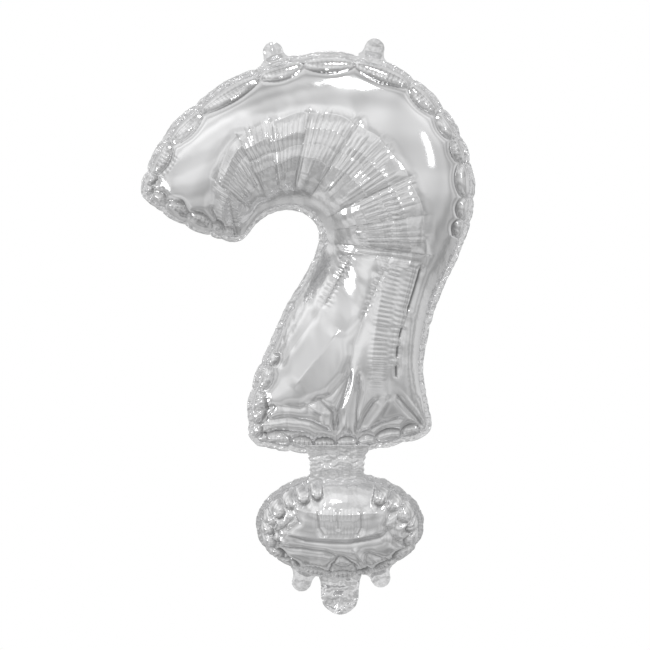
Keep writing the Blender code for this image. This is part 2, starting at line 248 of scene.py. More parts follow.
class TabSettings(bpy.types.PropertyGroup):
    width: FloatProperty(
        name="Tab width", description="Of each of the four tabs",
        unit="LENGTH", default=0.012, min=0.004, max=0.03)
    root: FloatProperty(
        name="Root", description="How far a tab or the tail runs back over the margin",
        unit="LENGTH", default=0.0045, min=0, max=0.01)
    flare: FloatProperty(
        name="Flare", description="How much a tab widens on each side where it leaves the margin",
        unit="LENGTH", default=0.003, min=0, max=0.01)
    tail_width: FloatProperty(
        name="Tail width", description="Of the filling tail",
        unit="LENGTH", default=0.0232, min=0.01, max=0.05)
    tail_length: FloatProperty(
        name="Tail length", description="Of the filling tail below its fold",
        unit="LENGTH", default=0.0236, min=0.01, max=0.06)


class StageSettings(bpy.types.PropertyGroup):
    distance: FloatProperty(
        name="Camera distance", description="From the balloon's plane",
        unit="LENGTH", default=2.2, min=0.5, max=10)
    view_width: FloatProperty(
        name="View width", description="Width of the picture at the balloon",
        unit="LENGTH", default=0.403, min=0.1, max=2)
    floor_drop: FloatProperty(
        name="Floor drop", description="How far the floor lies under the point the balloon hangs by",
        unit="LENGTH", default=1.2, min=0.4, max=5)


class BalloonSettings(bpy.types.PropertyGroup):
    foil: PointerProperty(type=FoilSettings)
    hook: PointerProperty(type=HookSettings)
    dot: PointerProperty(type=DotSettings)
    tabs: PointerProperty(type=TabSettings)
    stage: PointerProperty(type=StageSettings)


# Outlines


def arc_length(loop):
    """Distance along a closed line to each of its points, and back to the first."""
    closed = np.vstack([loop, loop[:1]])
    return np.concatenate([[0], np.cumsum(np.linalg.norm(np.diff(closed, axis=0), axis=1))])


def resampled(loop, count, *partners):
    """The closed line with count points evenly spaced, and its partners read at the same places."""
    run = arc_length(loop)
    at = np.linspace(0, run[-1], count, endpoint=False)
    out = []
    for values in (loop, *partners):
        closed = np.vstack([values, values[:1]])
        out.append(np.stack([np.interp(at, run, closed[:, k]) for k in range(2)], axis=1))
    return out if partners else out[0]


def smoothed(values, reach):
    """Values along a closed line, blurred over reach points."""
    turn = np.fft.fftfreq(len(values))
    keep = np.exp(-2 * (math.pi * turn * reach) ** 2)
    if values.ndim > 1:
        keep = keep[:, None]
    return np.real(np.fft.ifft(np.fft.fft(values, axis=0) * keep, axis=0))


def outward(loop):
    """The unit normal at each point of an anticlockwise loop."""
    along = np.roll(loop, -1, axis=0) - np.roll(loop, 1, axis=0)
    along /= np.linalg.norm(along, axis=1)[:, None]
    return np.stack([along[:, 1], -along[:, 0]], axis=1)


def bend_of(loop, reach):
    """Curvature of an anticlockwise loop, negative where it turns inwards."""
    before, after = np.roll(loop, reach, axis=0), np.roll(loop, -reach, axis=0)
    u, v = loop - before, after - loop
    turn = u[:, 0] * v[:, 1] - u[:, 1] * v[:, 0]
    return turn / np.linalg.norm(u, axis=1) ** 3


def inside(points, loop):
    """Which points lie inside a closed loop."""
    x, z = points.T
    within = np.zeros(len(points), bool)
    for (ax, az), (bx, bz) in zip(loop, np.roll(loop, -1, axis=0)):
        if az != bz:
            crosses = (az > z) != (bz > z)
            within ^= crosses & (x < ax + (z - az) / (bz - az) * (bx - ax))
    return within


def nearest(points, loop, chunk=4000):
    """(distance to the loop's nearest point, that point's number) for each point."""
    distance, which = np.empty(len(points)), np.empty(len(points), int)
    for k in range(0, len(points), chunk):
        p = points[k : k + chunk]
        square = (p**2).sum(axis=1)[:, None] + (loop**2).sum(axis=1)[None] - 2 * p @ loop.T
        which[k : k + chunk] = square.argmin(axis=1)
        distance[k : k + chunk] = np.sqrt(np.maximum(square.min(axis=1), 0))
    return distance, which


def smooth_rungs(rungs, count):
    """The rungs read along a smooth curve, count of them evenly spaced along the tube."""
    r = np.array(rungs, float)
    p = np.concatenate([2 * r[:1] - r[1:2], r, 2 * r[-1:] - r[-2:-1]])
    t = (np.arange(40) / 40)[:, None, None]
    dense = []
    for a, b, c, d in zip(p, p[1:], p[2:], p[3:]):
        dense.append(
            0.5 * (2 * b + (c - a) * t + (2 * a - 5 * b + 4 * c - d) * t**2
                   + (3 * b - a - 3 * c + d) * t**3)
        )
    dense = np.concatenate([*dense, p[-2:-1]])
    middle = dense.mean(axis=1)
    run = np.concatenate([[0], np.cumsum(np.linalg.norm(np.diff(middle, axis=0), axis=1))])
    at = np.linspace(0, run[-1], count)
    flat = dense.reshape(len(dense), 4)
    return np.stack([np.interp(at, run, flat[:, k]) for k in range(4)], axis=1).reshape(count, 2, 2)


def laid_flat(rungs, spread, opening, inner_edge):
    """The tube laid out flat, as the film is cut: (outer edge, inner edge, direction of each rung).

    Each rung is spread to the width of the flat film. The edge on the inside of a bend keeps its
    length, and the other is longer than when blown up, which is what puckers it.
    """
    outer, inner = rungs[:, 0], rungs[:, 1]
    width = np.linalg.norm(outer - inner, axis=1)
    unit = (outer - inner) / width[:, None]
    angle = math.atan2(unit[0, 1], unit[0, 0])
    middle = (outer[0] + inner[0]) / 2
    angles, middles = [angle], [middle]
    for k in range(len(rungs) - 1):
        across = unit[k] + unit[k + 1]
        across /= np.linalg.norm(across)
        ahead = np.array([across[1], -across[0]])
        step_out, step_in = outer[k + 1] - outer[k], inner[k + 1] - inner[k]
        more = opening * (step_out - step_in) @ ahead
        least = inner_edge * min(step_out @ ahead, step_in @ ahead)
        long_out, long_in = least + max(more, 0), least + max(-more, 0)
        turn = -(long_out - long_in) / (spread * (width[k] + width[k + 1]) / 2)
        half_way = angle + turn / 2
        across_flat = np.array([math.cos(half_way), math.sin(half_way)])
        ahead_flat = np.array([across_flat[1], -across_flat[0]])
        slip = (step_out + step_in) @ across / 2 * spread
        middle = middle + ahead_flat * (long_out + long_in) / 2 + across_flat * slip
        angle += turn
        angles.append(angle)
        middles.append(middle)
    direction = np.stack([np.cos(angles), np.sin(angles)], axis=1)
    half = direction * (spread * width / 2)[:, None]
    return np.array(middles) + half, np.array(middles) - half, direction


def bowed(outer, inner, direction, swell, sign, count):
    """Points from the outer to the inner end of a tube's last rung, bowed out by swell."""
    s = np.linspace(0, 1, count + 2)[1:-1, None]
    ahead = sign * np.array([direction[1], -direction[0]])
    return outer * (1 - s) + inner * s + ahead * swell * np.sin(math.pi * s)


def hook_pattern(settings):
    """(the hook's film as cut flat, the weld line it takes when blown up), point for point, in mm."""
    rungs = smooth_rungs(HOOK_RUNGS, 160)
    outer, inner, direction = laid_flat(
        rungs, settings.spread, settings.opening, settings.inner_edge)
    lines = []
    shown = rungs[:, 0] - rungs[:, 1]
    shown /= np.linalg.norm(shown, axis=1)[:, None]
    for out, inn, way, foot, end in (
        (outer, inner, direction, settings.foot_swell / MM, settings.end_swell / MM),
        (rungs[:, 0], rungs[:, 1], shown, 8.0, 4.0),
    ):
        foot_line = bowed(out[-1], inn[-1], way[-1], foot, 1, 40)
        end_line = bowed(out[0], inn[0], way[0], end, -1, 24)[::-1]
        lines.append(np.vstack([out, foot_line, inn[::-1], end_line])[::-1])
    flat, target = resampled(*[lines[0], 1200, lines[1]])
    flat, target = smoothed(flat, 9), smoothed(target, 5)
    wider = FLANGE - settings.margin / MM
    flat, target = flat + wider * outward(flat), target + wider * outward(target)
    return turned_on_to(flat, target), target


def turned_on_to(flat, target):
    """The flat outline, turned and shifted until it lies best on the target."""
    a, b = flat - flat.mean(axis=0), target - target.mean(axis=0)
    h = a.T @ b
    turn = math.atan2(h[0, 1] - h[1, 0], h[0, 0] + h[1, 1])
    spin = np.array([[math.cos(turn), -math.sin(turn)], [math.sin(turn), math.cos(turn)]])
    return a @ spin.T + target.mean(axis=0)


def dot_pattern(settings):
    """The same for the dot, in its own plane, measured from the neck's fold."""
    turn = np.linspace(0, 2 * math.pi, 900, endpoint=False)
    shape = np.stack([settings.half_width * np.cos(turn), settings.half_height * np.sin(turn)], axis=1)
    low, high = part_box("dot_seam")
    across = (low[0] + high[0]) / 2 - NECK_FOLD.x
    target = resampled(shape / MM, 900) + [across / MM, -(settings.half_height + 0.0065) / MM]
    target = target + (FLANGE - settings.margin / MM) * outward(target)
    middle = target.mean(axis=0)
    flat = (target - middle) * [settings.spread_wide, settings.spread_high] + middle
    return resampled(flat, 900, target)


# The solver


class Film:
    """Two equal flat films, welded round their edge.

    The points are the weld's, then the front film's inner points, and then the back film's. Lengths
    are in mm.
    """

    def __init__(self, outline, target, weld_step, bands, fine=None):
        rng = np.random.default_rng(1)
        self.weld_count = n = round(arc_length(outline)[-1] / weld_step)
        self.outline, self.target = resampled(outline, n, target)
        inner = self.spaced_points(bands, rng, fine)
        self.inner_count = m = len(inner)
        self.front_at, self.back_at = n, n + m
        self.flat = np.vstack([self.outline, inner, inner])
        self.side = self.joined_up(np.vstack([self.outline, inner]))
        self.front = self.side
        self.back = np.where(self.side < n, self.side, self.side + m)[:, ::-1]
        self.count = len(self.flat)
        self.closed = np.vstack([self.front, self.back])
        self.measure()
        self.place = np.zeros((self.count, 3))
        self.place[:, [0, 2]] = self.flat
        self.place[self.front_at : self.back_at, 1] = -0.5
        self.place[self.back_at :, 1] = 0.5
        self.before = None

    def spaced_points(self, bands, rng, fine):
        """A hexagonal lattice inside the weld, in bands of (how far in, spacing).

        fine is (a test of places, spacing): places that pass it get points at that spacing instead.
        """
        chosen, start = [], 0.0
        for reach, cell in bands:
            points, away = self.lattice(cell, rng)
            keep = (away > max(start, cell * 0.62)) & (away <= reach)
            points = points[keep]
            if fine:
                turn = np.arange(6) * math.pi / 3
                ring = 0.7 * cell * np.stack([np.cos(turn), np.sin(turn)], axis=1)
                near = fine[0](points)
                for step in ring:
                    near |= fine[0](points + step)
                points = points[~near]
            chosen.append(points)
            start = reach + cell * 0.35
        if fine:
            points, away = self.lattice(fine[1], rng)
            points = points[(away > bands[0][1] * 0.62)]
            chosen.append(points[fine[0](points)])
        return np.vstack(chosen)

    def lattice(self, cell, rng):
        """(points, how far each is from the weld) of a hexagonal lattice inside the weld."""
        low, high = self.outline.min(axis=0), self.outline.max(axis=0)
        row = cell * math.sqrt(3) / 2
        up = np.arange(int((high[1] - low[1]) / row) + 2)
        right = np.arange(int((high[0] - low[0]) / cell) + 2)
        j, i = np.meshgrid(up, right, indexing="ij")
        points = np.stack([(low[0] + (i + j % 2 / 2) * cell).ravel(), (low[1] + j * row).ravel()], 1)
        points += rng.uniform(-0.08, 0.08, points.shape) * cell
        points = points[inside(points, self.outline)]
        return points, nearest(points, self.outline)[0]

    def joined_up(self, points):
        """Triangles of one film, anticlockwise as seen from the front."""
        n = self.weld_count
        ring = [(i, (i + 1) % n) for i in range(n)]
        _, _, faces, origin, _, _ = delaunay_2d_cdt([Vector(p) for p in points], ring, [], 1, 1e-6)
        order = [source[0] for source in origin]
        triangles = np.array([[order[i] for i in face] for face in faces])
        a, b, c = (points[triangles[:, k]] for k in range(3))
        double = (b - a)[:, 0] * (c - a)[:, 1] - (b - a)[:, 1] * (c - a)[:, 0]
        triangles[double < 0] = triangles[double < 0][:, ::-1]
        return triangles[np.abs(double) > 1e-9]

    def measure(self):
        """Edge lengths and weights from the flat film, and the tables that the steps read."""
        every = self.closed
        pairs = np.vstack([every[:, [0, 1]], every[:, [1, 2]], every[:, [2, 0]]])
        edges = np.unique(np.sort(pairs, axis=1), axis=0)
        rest = np.linalg.norm(self.flat[edges[:, 0]] - self.flat[edges[:, 1]], axis=1)
        a, b, c = (self.flat[every[:, k]] for k in range(3))
        area = np.abs((b - a)[:, 0] * (c - a)[:, 1] - (b - a)[:, 1] * (c - a)[:, 0]) / 2
        weight = np.bincount(every.ravel(), np.repeat(area / 3, 3), self.count)
        self.lightness = 1 / weight
        self.groups = []
        for group in independent(edges, self.count):
            i, j = edges[group].T
            total = self.lightness[i] + self.lightness[j]
            share_i, share_j = self.lightness[i] / total, self.lightness[j] / total
            self.groups.append((i, j, rest[group], share_i[:, None], share_j[:, None]))
        self.neighbours, self.padding, self.degree = self.neighbour_table(edges)

    def neighbour_table(self, edges):
        """Each point's neighbours, padded with the point itself. The weld bends only along itself."""
        n = self.weld_count
        i, j = np.concatenate([edges, edges[:, ::-1]]).T
        step = np.minimum((i - j) % n, (j - i) % n)
        keep = (i >= n) | ((j < n) & (step == 1))
        i, j = i[keep], j[keep]
        order = np.argsort(i, kind="stable")
        i, j = i[order], j[order]
        degree = np.bincount(i, minlength=self.count)
        start = np.concatenate([[0], np.cumsum(degree)[:-1]])
        table = np.repeat(np.arange(self.count)[:, None], degree.max(), axis=1)
        table[i, np.arange(len(i)) - start[i]] = j
        padding = (degree.max() - degree)[:, None].astype(float)
        return table, padding, np.maximum(degree, 1)[:, None].astype(float)

    def towards_neighbours(self, x):
        total = np.take(x, self.neighbours[:, 0], axis=0)
        for k in range(1, self.neighbours.shape[1]):
            total += np.take(x, self.neighbours[:, k], axis=0)
        return (total - self.padding * x) / self.degree - x

    def swelling(self, x):
        """The push of the air on each point, along the film's normal."""
        a, b, c = (x[self.closed[:, k]] for k in range(3))
        face = np.repeat(np.cross(b - a, c - a), 3, axis=0)
        at = self.closed.ravel()
        total = np.stack([np.bincount(at, face[:, k], self.count) for k in range(3)], axis=1)
        return total * (self.lightness / 6)[:, None]

    def settle(self, steps, pressure, weld_line, hold, crumple=0.0, damping=0.98, bending=0.05, sweeps=3):
        """Moves the film for some steps, its weld drawn towards weld_line and into its own plane.

        Film can't stretch. Where it is too long it crumples: crumple says how much it resists that,
        and at nought it gives way as a smooth, finely wrinkled film does.
        """
        n = self.weld_count
        x = self.place
        before = x if self.before is None else self.before
        for step in range(steps):
            if step % 3 == 0:
                push = self.swelling(x) * pressure
            before, x = x, x + (x - before) * damping + push
            curl = self.towards_neighbours(x)
            x = x - bending * self.towards_neighbours(curl)
            x[:n, [0, 2]] += hold * (weld_line - x[:n, [0, 2]])
            x[:n, 1] *= 0.92
            for _ in range(sweeps):
                for i, j, rest, share_i, share_j in self.groups:
                    gap = x[j] - x[i]
                    length = np.sqrt(np.einsum("ij,ij->i", gap, gap))
                    strain = (length - rest) / length
                    gap *= np.where(strain < 0, strain * crumple, strain)[:, None]
                    x[i] += gap * share_i
                    x[j] -= gap * share_j
        self.place, self.before = x, before

    def follow(self, coarse):
        """Takes the shape of a coarser film."""
        inner = self.flat[self.front_at : self.back_at]
        at, weights = located(inner, np.vstack([coarse.outline, coarse.flat[coarse.front_at : coarse.back_at]]),
                              coarse.side)
        for mine, faces in ((self.front_at, coarse.front), (self.back_at, coarse.back[:, ::-1])):
            corners = faces[at]
            shape = sum(coarse.place[corners[:, k]] * weights[:, k : k + 1] for k in range(3))
            self.place[mine : mine + self.inner_count] = shape
        run = np.arange(self.weld_count) / self.weld_count * coarse.weld_count
        weld = coarse.place[: coarse.weld_count]
        weld = np.vstack([weld, weld[:1]])
        for k in range(3):
            self.place[: self.weld_count, k] = np.interp(run, np.arange(len(weld)), weld[:, k])

    def shift(self, move):
        """Slides the whole film sideways: move is the weld's (x, z) shift, spread over the film."""
        inner = spread_inwards(self, move)
        self.place[: self.weld_count, 0] += move[:, 0]
        self.place[: self.weld_count, 2] += move[:, 1]
        for at in (self.front_at, self.back_at):
            self.place[at : at + self.inner_count, 0] += inner[:, 0]
            self.place[at : at + self.inner_count, 2] += inner[:, 1]


def independent(edges, count):
    """The edges sorted into groups in which no two share a point."""
    rng = np.random.default_rng(3)
    left = np.arange(len(edges))
    groups = []
    while len(left):
        busy = np.zeros(count, bool)
        candidates, chosen = left, []
        for _ in range(4):
            candidates = candidates[~busy[edges[candidates]].any(axis=1)]
            if not len(candidates):
                break
            draw = rng.random(len(candidates))
            least = np.full(count, 2.0)
            np.minimum.at(least, edges[candidates, 0], draw)
            np.minimum.at(least, edges[candidates, 1], draw)
            wins = (least[edges[candidates]] == draw[:, None]).all(axis=1)
            chosen.append(candidates[wins])
            busy[edges[candidates[wins]].ravel()] = True
        chosen = np.concatenate(chosen)
        left = np.setdiff1d(left, chosen, assume_unique=True)
        groups.append(chosen)
    return groups


def located(points, corners, triangles):
    """The triangle that each flat point lies in, and its weights on that triangle's corners."""
    a, b, c = (corners[triangles[:, k]] for k in range(3))
    double = (b - a)[:, 0] * (c - a)[:, 1] - (b - a)[:, 1] * (c - a)[:, 0]
    origin, size = corners.min(axis=0), 2 * math.sqrt(np.abs(double).mean())
    low = ((np.minimum(np.minimum(a, b), c) - origin) / size).astype(int)
    high = ((np.maximum(np.maximum(a, b), c) - origin) / size).astype(int)
    columns = int((corners[:, 0].max() - origin[0]) / size) + 2
    cells, owners = [], []
    for dx in range((high - low)[:, 0].max() + 1):
        for dz in range((high - low)[:, 1].max() + 1):
            fits = np.nonzero((low[:, 0] + dx <= high[:, 0]) & (low[:, 1] + dz <= high[:, 1]))[0]
            cells.append(low[fits, 0] + dx + (low[fits, 1] + dz) * columns)
            owners.append(fits)
    cells, owners = np.concatenate(cells), np.concatenate(owners)
    order = np.argsort(cells, kind="stable")
    cells, owners = cells[order], owners[order]
    at = np.floor((points - origin) / size).astype(int)
    key = at[:, 0] + at[:, 1] * columns
    start, end = np.searchsorted(cells, key), np.searchsorted(cells, key, side="right")
    best, score = np.zeros(len(points), int), np.full(len(points), -np.inf)
    weights = np.tile([1.0, 0, 0], (len(points), 1))
    for k in range((end - start).max()):
        live = np.nonzero(start + k < end)[0]
        which = owners[start[live] + k]
        p = points[live] - a[which]
        u, v = b[which] - a[which], c[which] - a[which]
        second = (p[:, 0] * v[:, 1] - p[:, 1] * v[:, 0]) / double[which]
        third = (u[:, 0] * p[:, 1] - u[:, 1] * p[:, 0]) / double[which]
        trial = np.stack([1 - second - third, second, third], axis=1)
        better = trial.min(axis=1) > score[live]
        won = live[better]
        score[won], best[won], weights[won] = trial.min(axis=1)[better], which[better], trial[better]
    return best, weights


def spread_inwards(film, move):
    """A shift of the weld spread evenly over the film, worked out on a coarse copy of it."""
    cell = arc_length(film.outline)[-1] / 130
    coarse = Film(film.outline, film.target, cell, [(math.inf, cell)])
    run = np.arange(film.weld_count + 1) / film.weld_count
    at = np.arange(coarse.weld_count) / coarse.weld_count
    edge = np.stack([np.interp(at, run, np.append(move[:, k], move[0, k])) for k in range(2)], axis=1)
    points = np.vstack([coarse.outline, coarse.flat[coarse.front_at : coarse.back_at]])
    total = len(points)
    stiff = np.zeros((total, total))
    for k in range(3):
        i, j, tip = (coarse.side[:, (k + s) % 3] for s in range(3))
        u, v = points[i] - points[tip], points[j] - points[tip]
        weight = (u * v).sum(axis=1) / (u[:, 0] * v[:, 1] - u[:, 1] * v[:, 0]) / 2
        for a, b, sign in ((i, j, -1), (j, i, -1), (i, i, 1), (j, j, 1)):
            np.add.at(stiff, (a, b), sign * weight)
    n = coarse.weld_count
    inner = np.linalg.solve(stiff[n:, n:], -stiff[n:, :n] @ edge)
    corner, weights = located(film.flat[film.front_at : film.back_at], points, coarse.side)
    spread = np.vstack([edge, inner])[coarse.side[corner]]
    return (spread * weights[:, :, None]).sum(axis=1)


def blown_up(outline, target, cells, wrinkled):
    """Inflates a flat film on finer and finer meshes. cells are the mesh sizes, coarse to fine.

    wrinkled tells which places of the blown up film have small wrinkles and need the finest mesh.
    """
    coarse = cells[0]
    film = Film(outline, target, coarse, [(math.inf, coarse)])
    pressure = 0.012 * (coarse / 4.5) ** 2
    for step in range(8):
        way = eased((step + 1) / 8)
        film.settle(25, pressure, film.outline * (1 - way) + film.target * way, 0.1)
    film.settle(180, pressure, film.target, 0.1)
    for cell, (steps, crumple) in zip(cells[1:], FINER):
        fine = None
        if cell == cells[-1] and cell < 2:
            corners = np.vstack([film.outline, film.flat[film.front_at : film.back_at]])

            def in_wrinkles(points, film=film, corners=corners):
                at, weights = located(points, corners, film.side)
                shape = (film.place[film.front[at]][:, :, [0, 2]] * weights[:, :, None]).sum(axis=1)
                return wrinkled(shape)

            fine = (in_wrinkles, cell * 0.84)
        finest = Film(outline, target, cell, [(14, cell * 1.1), (math.inf, cell * 1.45)], fine)
        finest.follow(film)
        film = finest
        film.settle(steps, 0.0005 * cell**2, film.target, 0.05, crumple, 0.97)
    weld = film.place[: film.weld_count][:, [0, 2]]
    film.shift(smoothed(film.target - weld, 8 / arc_length(outline)[-1] * film.weld_count))
    return film


# For each finer mesh: steps, and how much the film resists crumpling.
FINER = [(90, 0.0), (60, 0.0), (30, 0.004)]


# From the solver's points to the finished film


def finer_mesh(points, triangles, flat):
    """One Loop subdivision. The edge keeps its points, so two films still meet at the weld."""
    sides = np.concatenate([triangles[:, [0, 1]], triangles[:, [1, 2]], triangles[:, [2, 0]]])
    tips = np.concatenate([triangles[:, 2], triangles[:, 0], triangles[:, 1]])
    edges, which = np.unique(np.sort(sides, axis=1), axis=0, return_inverse=True)
    which = which.ravel()
    uses = np.bincount(which, minlength=len(edges))
    across = np.stack(
        [np.bincount(which, points[tips, k], len(edges)) for k in range(3)], axis=1)
    ends = points[edges[:, 0]] + points[edges[:, 1]]
    middle = np.where((uses == 2)[:, None], 0.375 * ends + 0.125 * across, 0.5 * ends)
    degree = np.bincount(edges.ravel(), minlength=len(points))
    around = np.zeros_like(points)
    for a, b in ((0, 1), (1, 0)):
        for k in range(3):
            around[:, k] += np.bincount(edges[:, a], points[edges[:, b], k], len(points))
    share = 0.375 / degree
    inner = np.ones(len(points), bool)
    inner[edges[uses == 1].ravel()] = False
    moved = points * (1 - degree * share)[:, None] + around * share[:, None]
    kept = np.where(inner[:, None], moved, points)
    n, t = len(points), len(triangles)
    ab, bc, ca = which[:t] + n, which[t : 2 * t] + n, which[2 * t :] + n
    a, b, c = triangles.T
    parts = [(a, ab, ca), (ab, b, bc), (ca, bc, c), (ab, bc, ca)]
    faces = np.vstack([np.stack(part, axis=1) for part in parts])
    flat_middle = (flat[edges[:, 0]] + flat[edges[:, 1]]) / 2
    return np.vstack([kept, middle]), faces, np.vstack([flat, flat_middle])


def point_normals(points, triangles):
    a, b, c = (points[triangles[:, k]] for k in range(3))
    face = np.repeat(np.cross(b - a, c - a), 3, axis=0)
    at = triangles.ravel()
    total = np.stack([np.bincount(at, face[:, k], len(points)) for k in range(3)], axis=1)
    return total / np.maximum(np.linalg.norm(total, axis=1), 1e-12)[:, None]


def along_line(places, points):
    """(distance from a line of points, distance run along it, whole length) for each place."""
    corners = np.array(points, float)
    best = np.full(len(places), np.inf)
    run_at = np.zeros(len(places))
    start = 0.0
    for a, b in zip(corners[:-1], corners[1:]):
        run = b - a
        length = math.hypot(*run)
        t = np.clip((places - a) @ run / length**2, 0, 1)
        away = np.linalg.norm(places - a - t[:, None] * run, axis=1)
        closer = away < best
        best[closer], run_at[closer] = away[closer], start + t[closer] * length
        start += length
    return best, run_at, start


def rung(phase):
    """A row of soft ridges with sharp valleys between them, 0 to 1."""
    part = phase - np.floor(phase)
    return 1 - np.abs(2 * part - 1) ** 1.45


def eased(x):
    x = np.clip(x, 0, 1)
    return x * x * (3 - 2 * x)


def fold_relief(places, folds):
    """(height, painted shade) of the drawn folds: the painted shade darkens the film's colour along a fold's
    closed line.
    """
    height, painted_shade = np.zeros(len(places)), np.zeros(len(places))
    for points, rise, width, depth in folds:
        away, run, length = along_line(places, points)
        ends = eased(np.minimum(run, length - run) / (0.22 * length) + 0.25)
        height += rise * ends * np.clip(1 - away / width, 0, 1) ** 2
        painted_shade = np.maximum(painted_shade, depth * ends * np.clip(1.3 - away / 0.9, 0, 1))
    return height, painted_shade


def ladder_relief(places, ladders, rng):
    height, painted_shade = np.zeros(len(places)), np.zeros(len(places))
    for points, rise, width, pitch in ladders:
        away, run, length = along_line(places, points)
        phase = run / pitch
        number = np.floor(phase).astype(int)
        strength = rng.uniform(0.45, 1.0, number.max() + 1)[number]
        reach = rng.uniform(0.7, 1.3, number.max() + 1)[number] * width
        ends = eased(np.minimum(run, length - run) / pitch)
        amount = strength * ends * np.clip(1 - (away / reach) ** 2, 0, 1)
        height += rise * amount * rung(phase)
        # Painted shade: the colour is darkened in the valleys between the rungs.
        painted_shade = np.maximum(painted_shade, 0.9 * rise * amount * np.clip(1 - 6 * rung_gap(phase), 0, 1))
    return height, painted_shade


def rung_gap(phase):
    """How far a place is from the valley beside its rung, 0 to 0.5."""
    part = phase - np.floor(phase)
    return np.minimum(part, 1 - part)


def fan_relief(places, rng):
    """(height, painted shade, how slack) of the fan of wrinkles round the inside of the hook's bend; the painted
    shade darkens the colour along its folds and between its rungs.
    """
    d = places - FAN_MIDDLE
    far = np.linalg.norm(d, axis=1)
    angle = np.degrees(np.arctan2(d[:, 1], d[:, 0]))
    bearings, reaches = np.array(FAN_REACH, float).T
    out = np.interp(angle, bearings, reaches)
    way = (far - 24) / (out - 24)
    sides = eased((angle - bearings[0] + 2) / 5) * eased((bearings[-1] - angle) / 12)
    height, painted_shade = np.zeros(len(places)), np.zeros(len(places))
    bend = 0.02 * np.sin(angle / 7) + 0.012 * np.sin(angle / 2.9 + 1)
    panel = np.searchsorted([fold[0] for fold in FAN_FOLDS], angle)
    for share, rise in FAN_KINKS:
        nudge = rng.uniform(-0.06, 0.06, 20)[panel] * (share < 1)
        force = rng.uniform(0.3, 1.4, 20)[panel]
        away = np.abs(way + bend + nudge - share) * (out - 24)
        height += rise * force * np.clip(1 - away / 7, 0, 1) ** 2
    for bearing, depth in FAN_FOLDS:
        away = np.abs(np.radians(angle - bearing)) * far
        across = eased((way - 0.02) / 0.2) * eased((1.12 - way) / 0.2)
        height -= depth * across * np.clip(1 - away / 8, 0, 1) ** 2
        painted_shade = np.maximum(painted_shade, 0.3 * depth * across * np.clip(1.2 - away / 0.9, 0, 1))
    pitch = 2.75
    phase = (angle + 0.5 * np.sin(way * 5)) / pitch + 40
    number = np.clip(np.floor(phase), 0, 199).astype(int)
    strength = rng.uniform(0.35, 1.0, 200)[number]
    starts, stops = rng.uniform(0.10, 0.5, 200)[number], rng.uniform(0.86, 1.12, 200)[number]
    reach = eased((way - starts) / 0.2) * eased((stops - way) / 0.12)
    patches = 0.7 + 0.3 * np.sin(angle / 11 + 2) * np.sin(way * 6)
    height += 0.7 * patches * strength * reach * rung(phase)
    painted_shade = np.maximum(painted_shade, 0.55 * strength * reach * np.clip(1 - 5 * rung_gap(phase), 0, 1))
    return height * sides, painted_shade * sides, sides * eased((1.15 - way) / 0.3) * (way > -0.2)


def loop_marks(loop, pinches):
    """The cells along a loop as (start, end) distances along it, from the pinches in order."""
    run = arc_length(loop)
    places = []
    for point in pinches:
        if point is None:
            places.append(None)
        else:
            places.append(run[np.linalg.norm(loop - point, axis=1).argmin()])
    cells = []
    for a, b in zip(places, places[1:] + places[:1]):
        if a is not None and b is not None:
            low, high = sorted((a, b))
            if high - low > run[-1] / 2:
                low, high = high, low + run[-1]
            cells.append((low, high))
    return cells, run[-1]


def cell_relief(along, away, cells, total, rng, deep, scallop):
    """(height, outward shift, painted shade) of the puffed cells along a weld; the painted shade darkens the
    colour along their grooves, pinches and rows.

    along and away give each place's nearest point of the weld and its distance from it. deep is how
    far in a long cell reaches, and scallop how far its edge bulges out, in mm.
    """
    height, shift, painted_shade = np.zeros(len(along)), np.zeros(len(along)), np.zeros(len(along))
    for low, high in cells:
        part = ((along - low) % total) / (high - low)
        here = part <= 1
        part, length = part[here], high - low
        swell = np.sin(math.pi * part) ** 0.6
        groove = deep * min(1.0, 0.35 + length / 45) * (0.42 + 0.58 * swell)
        q = away[here] / groove
        size = min(2.0, 0.6 + length / 20)
        pillow = size * np.sin(math.pi * np.clip(q, 0, 1)) ** 0.8 * (0.25 + 0.75 * swell)
        gap = np.abs(away[here] - groove)
        open_to = 0.35 + 0.65 * swell
        valley = -1.7 * np.clip(1 - gap / np.where(q < 1, 2.6, 6.0), 0, 1) ** 2 * open_to
        ends = np.minimum(part, 1 - part) * length
        short = eased(away[here] / 2) * np.clip(1.4 - q, 0, 1)
        pinch = -1.4 * np.clip(1 - ends / 3.0, 0, 1) ** 2 * short
        phase = part * round(length / rng.uniform(2.5, 3.1))
        rows = rng.choice([0.0, 0.15, 0.32]) * np.clip(1 - ((q - 0.85) / 0.5) ** 2, 0, 1)
        rows *= eased(np.minimum(part, 1 - part) / 0.12)
        height[here] = pillow + valley + pinch + rows * rung(phase)
        edge = min(scallop, length / 12)
        shift[here] = edge * (swell - 0.5) * np.clip(1 - away[here] / 14, 0, 1) ** 2
        line = rng.uniform(0.3, 1.0) * open_to * np.clip(1.35 - gap / 0.9, 0, 1)
        line = np.maximum(line, 0.5 * short * np.clip(1 - ends / 0.9, 0, 1))
        painted_shade[here] = np.maximum(line, 2.0 * rows * np.clip(1 - 5 * rung_gap(phase), 0, 1))
    return height, shift, painted_shade


def weld_coordinates(places, film):
    """(distance along the weld, distance from it, outward direction) of each place's nearest point."""
    loop = resampled(film.target, 1500)
    step = arc_length(loop)[1]
    away, near = nearest(places, loop)
    ahead = np.roll(loop, -1, axis=0) - np.roll(loop, 1, axis=0)
    ahead /= np.linalg.norm(ahead, axis=1)[:, None]
    along = near * step + ((places - loop[near]) * ahead[near]).sum(axis=1)
    out = smoothed(outward(loop), 6 / step)[near]
    return along, away, out


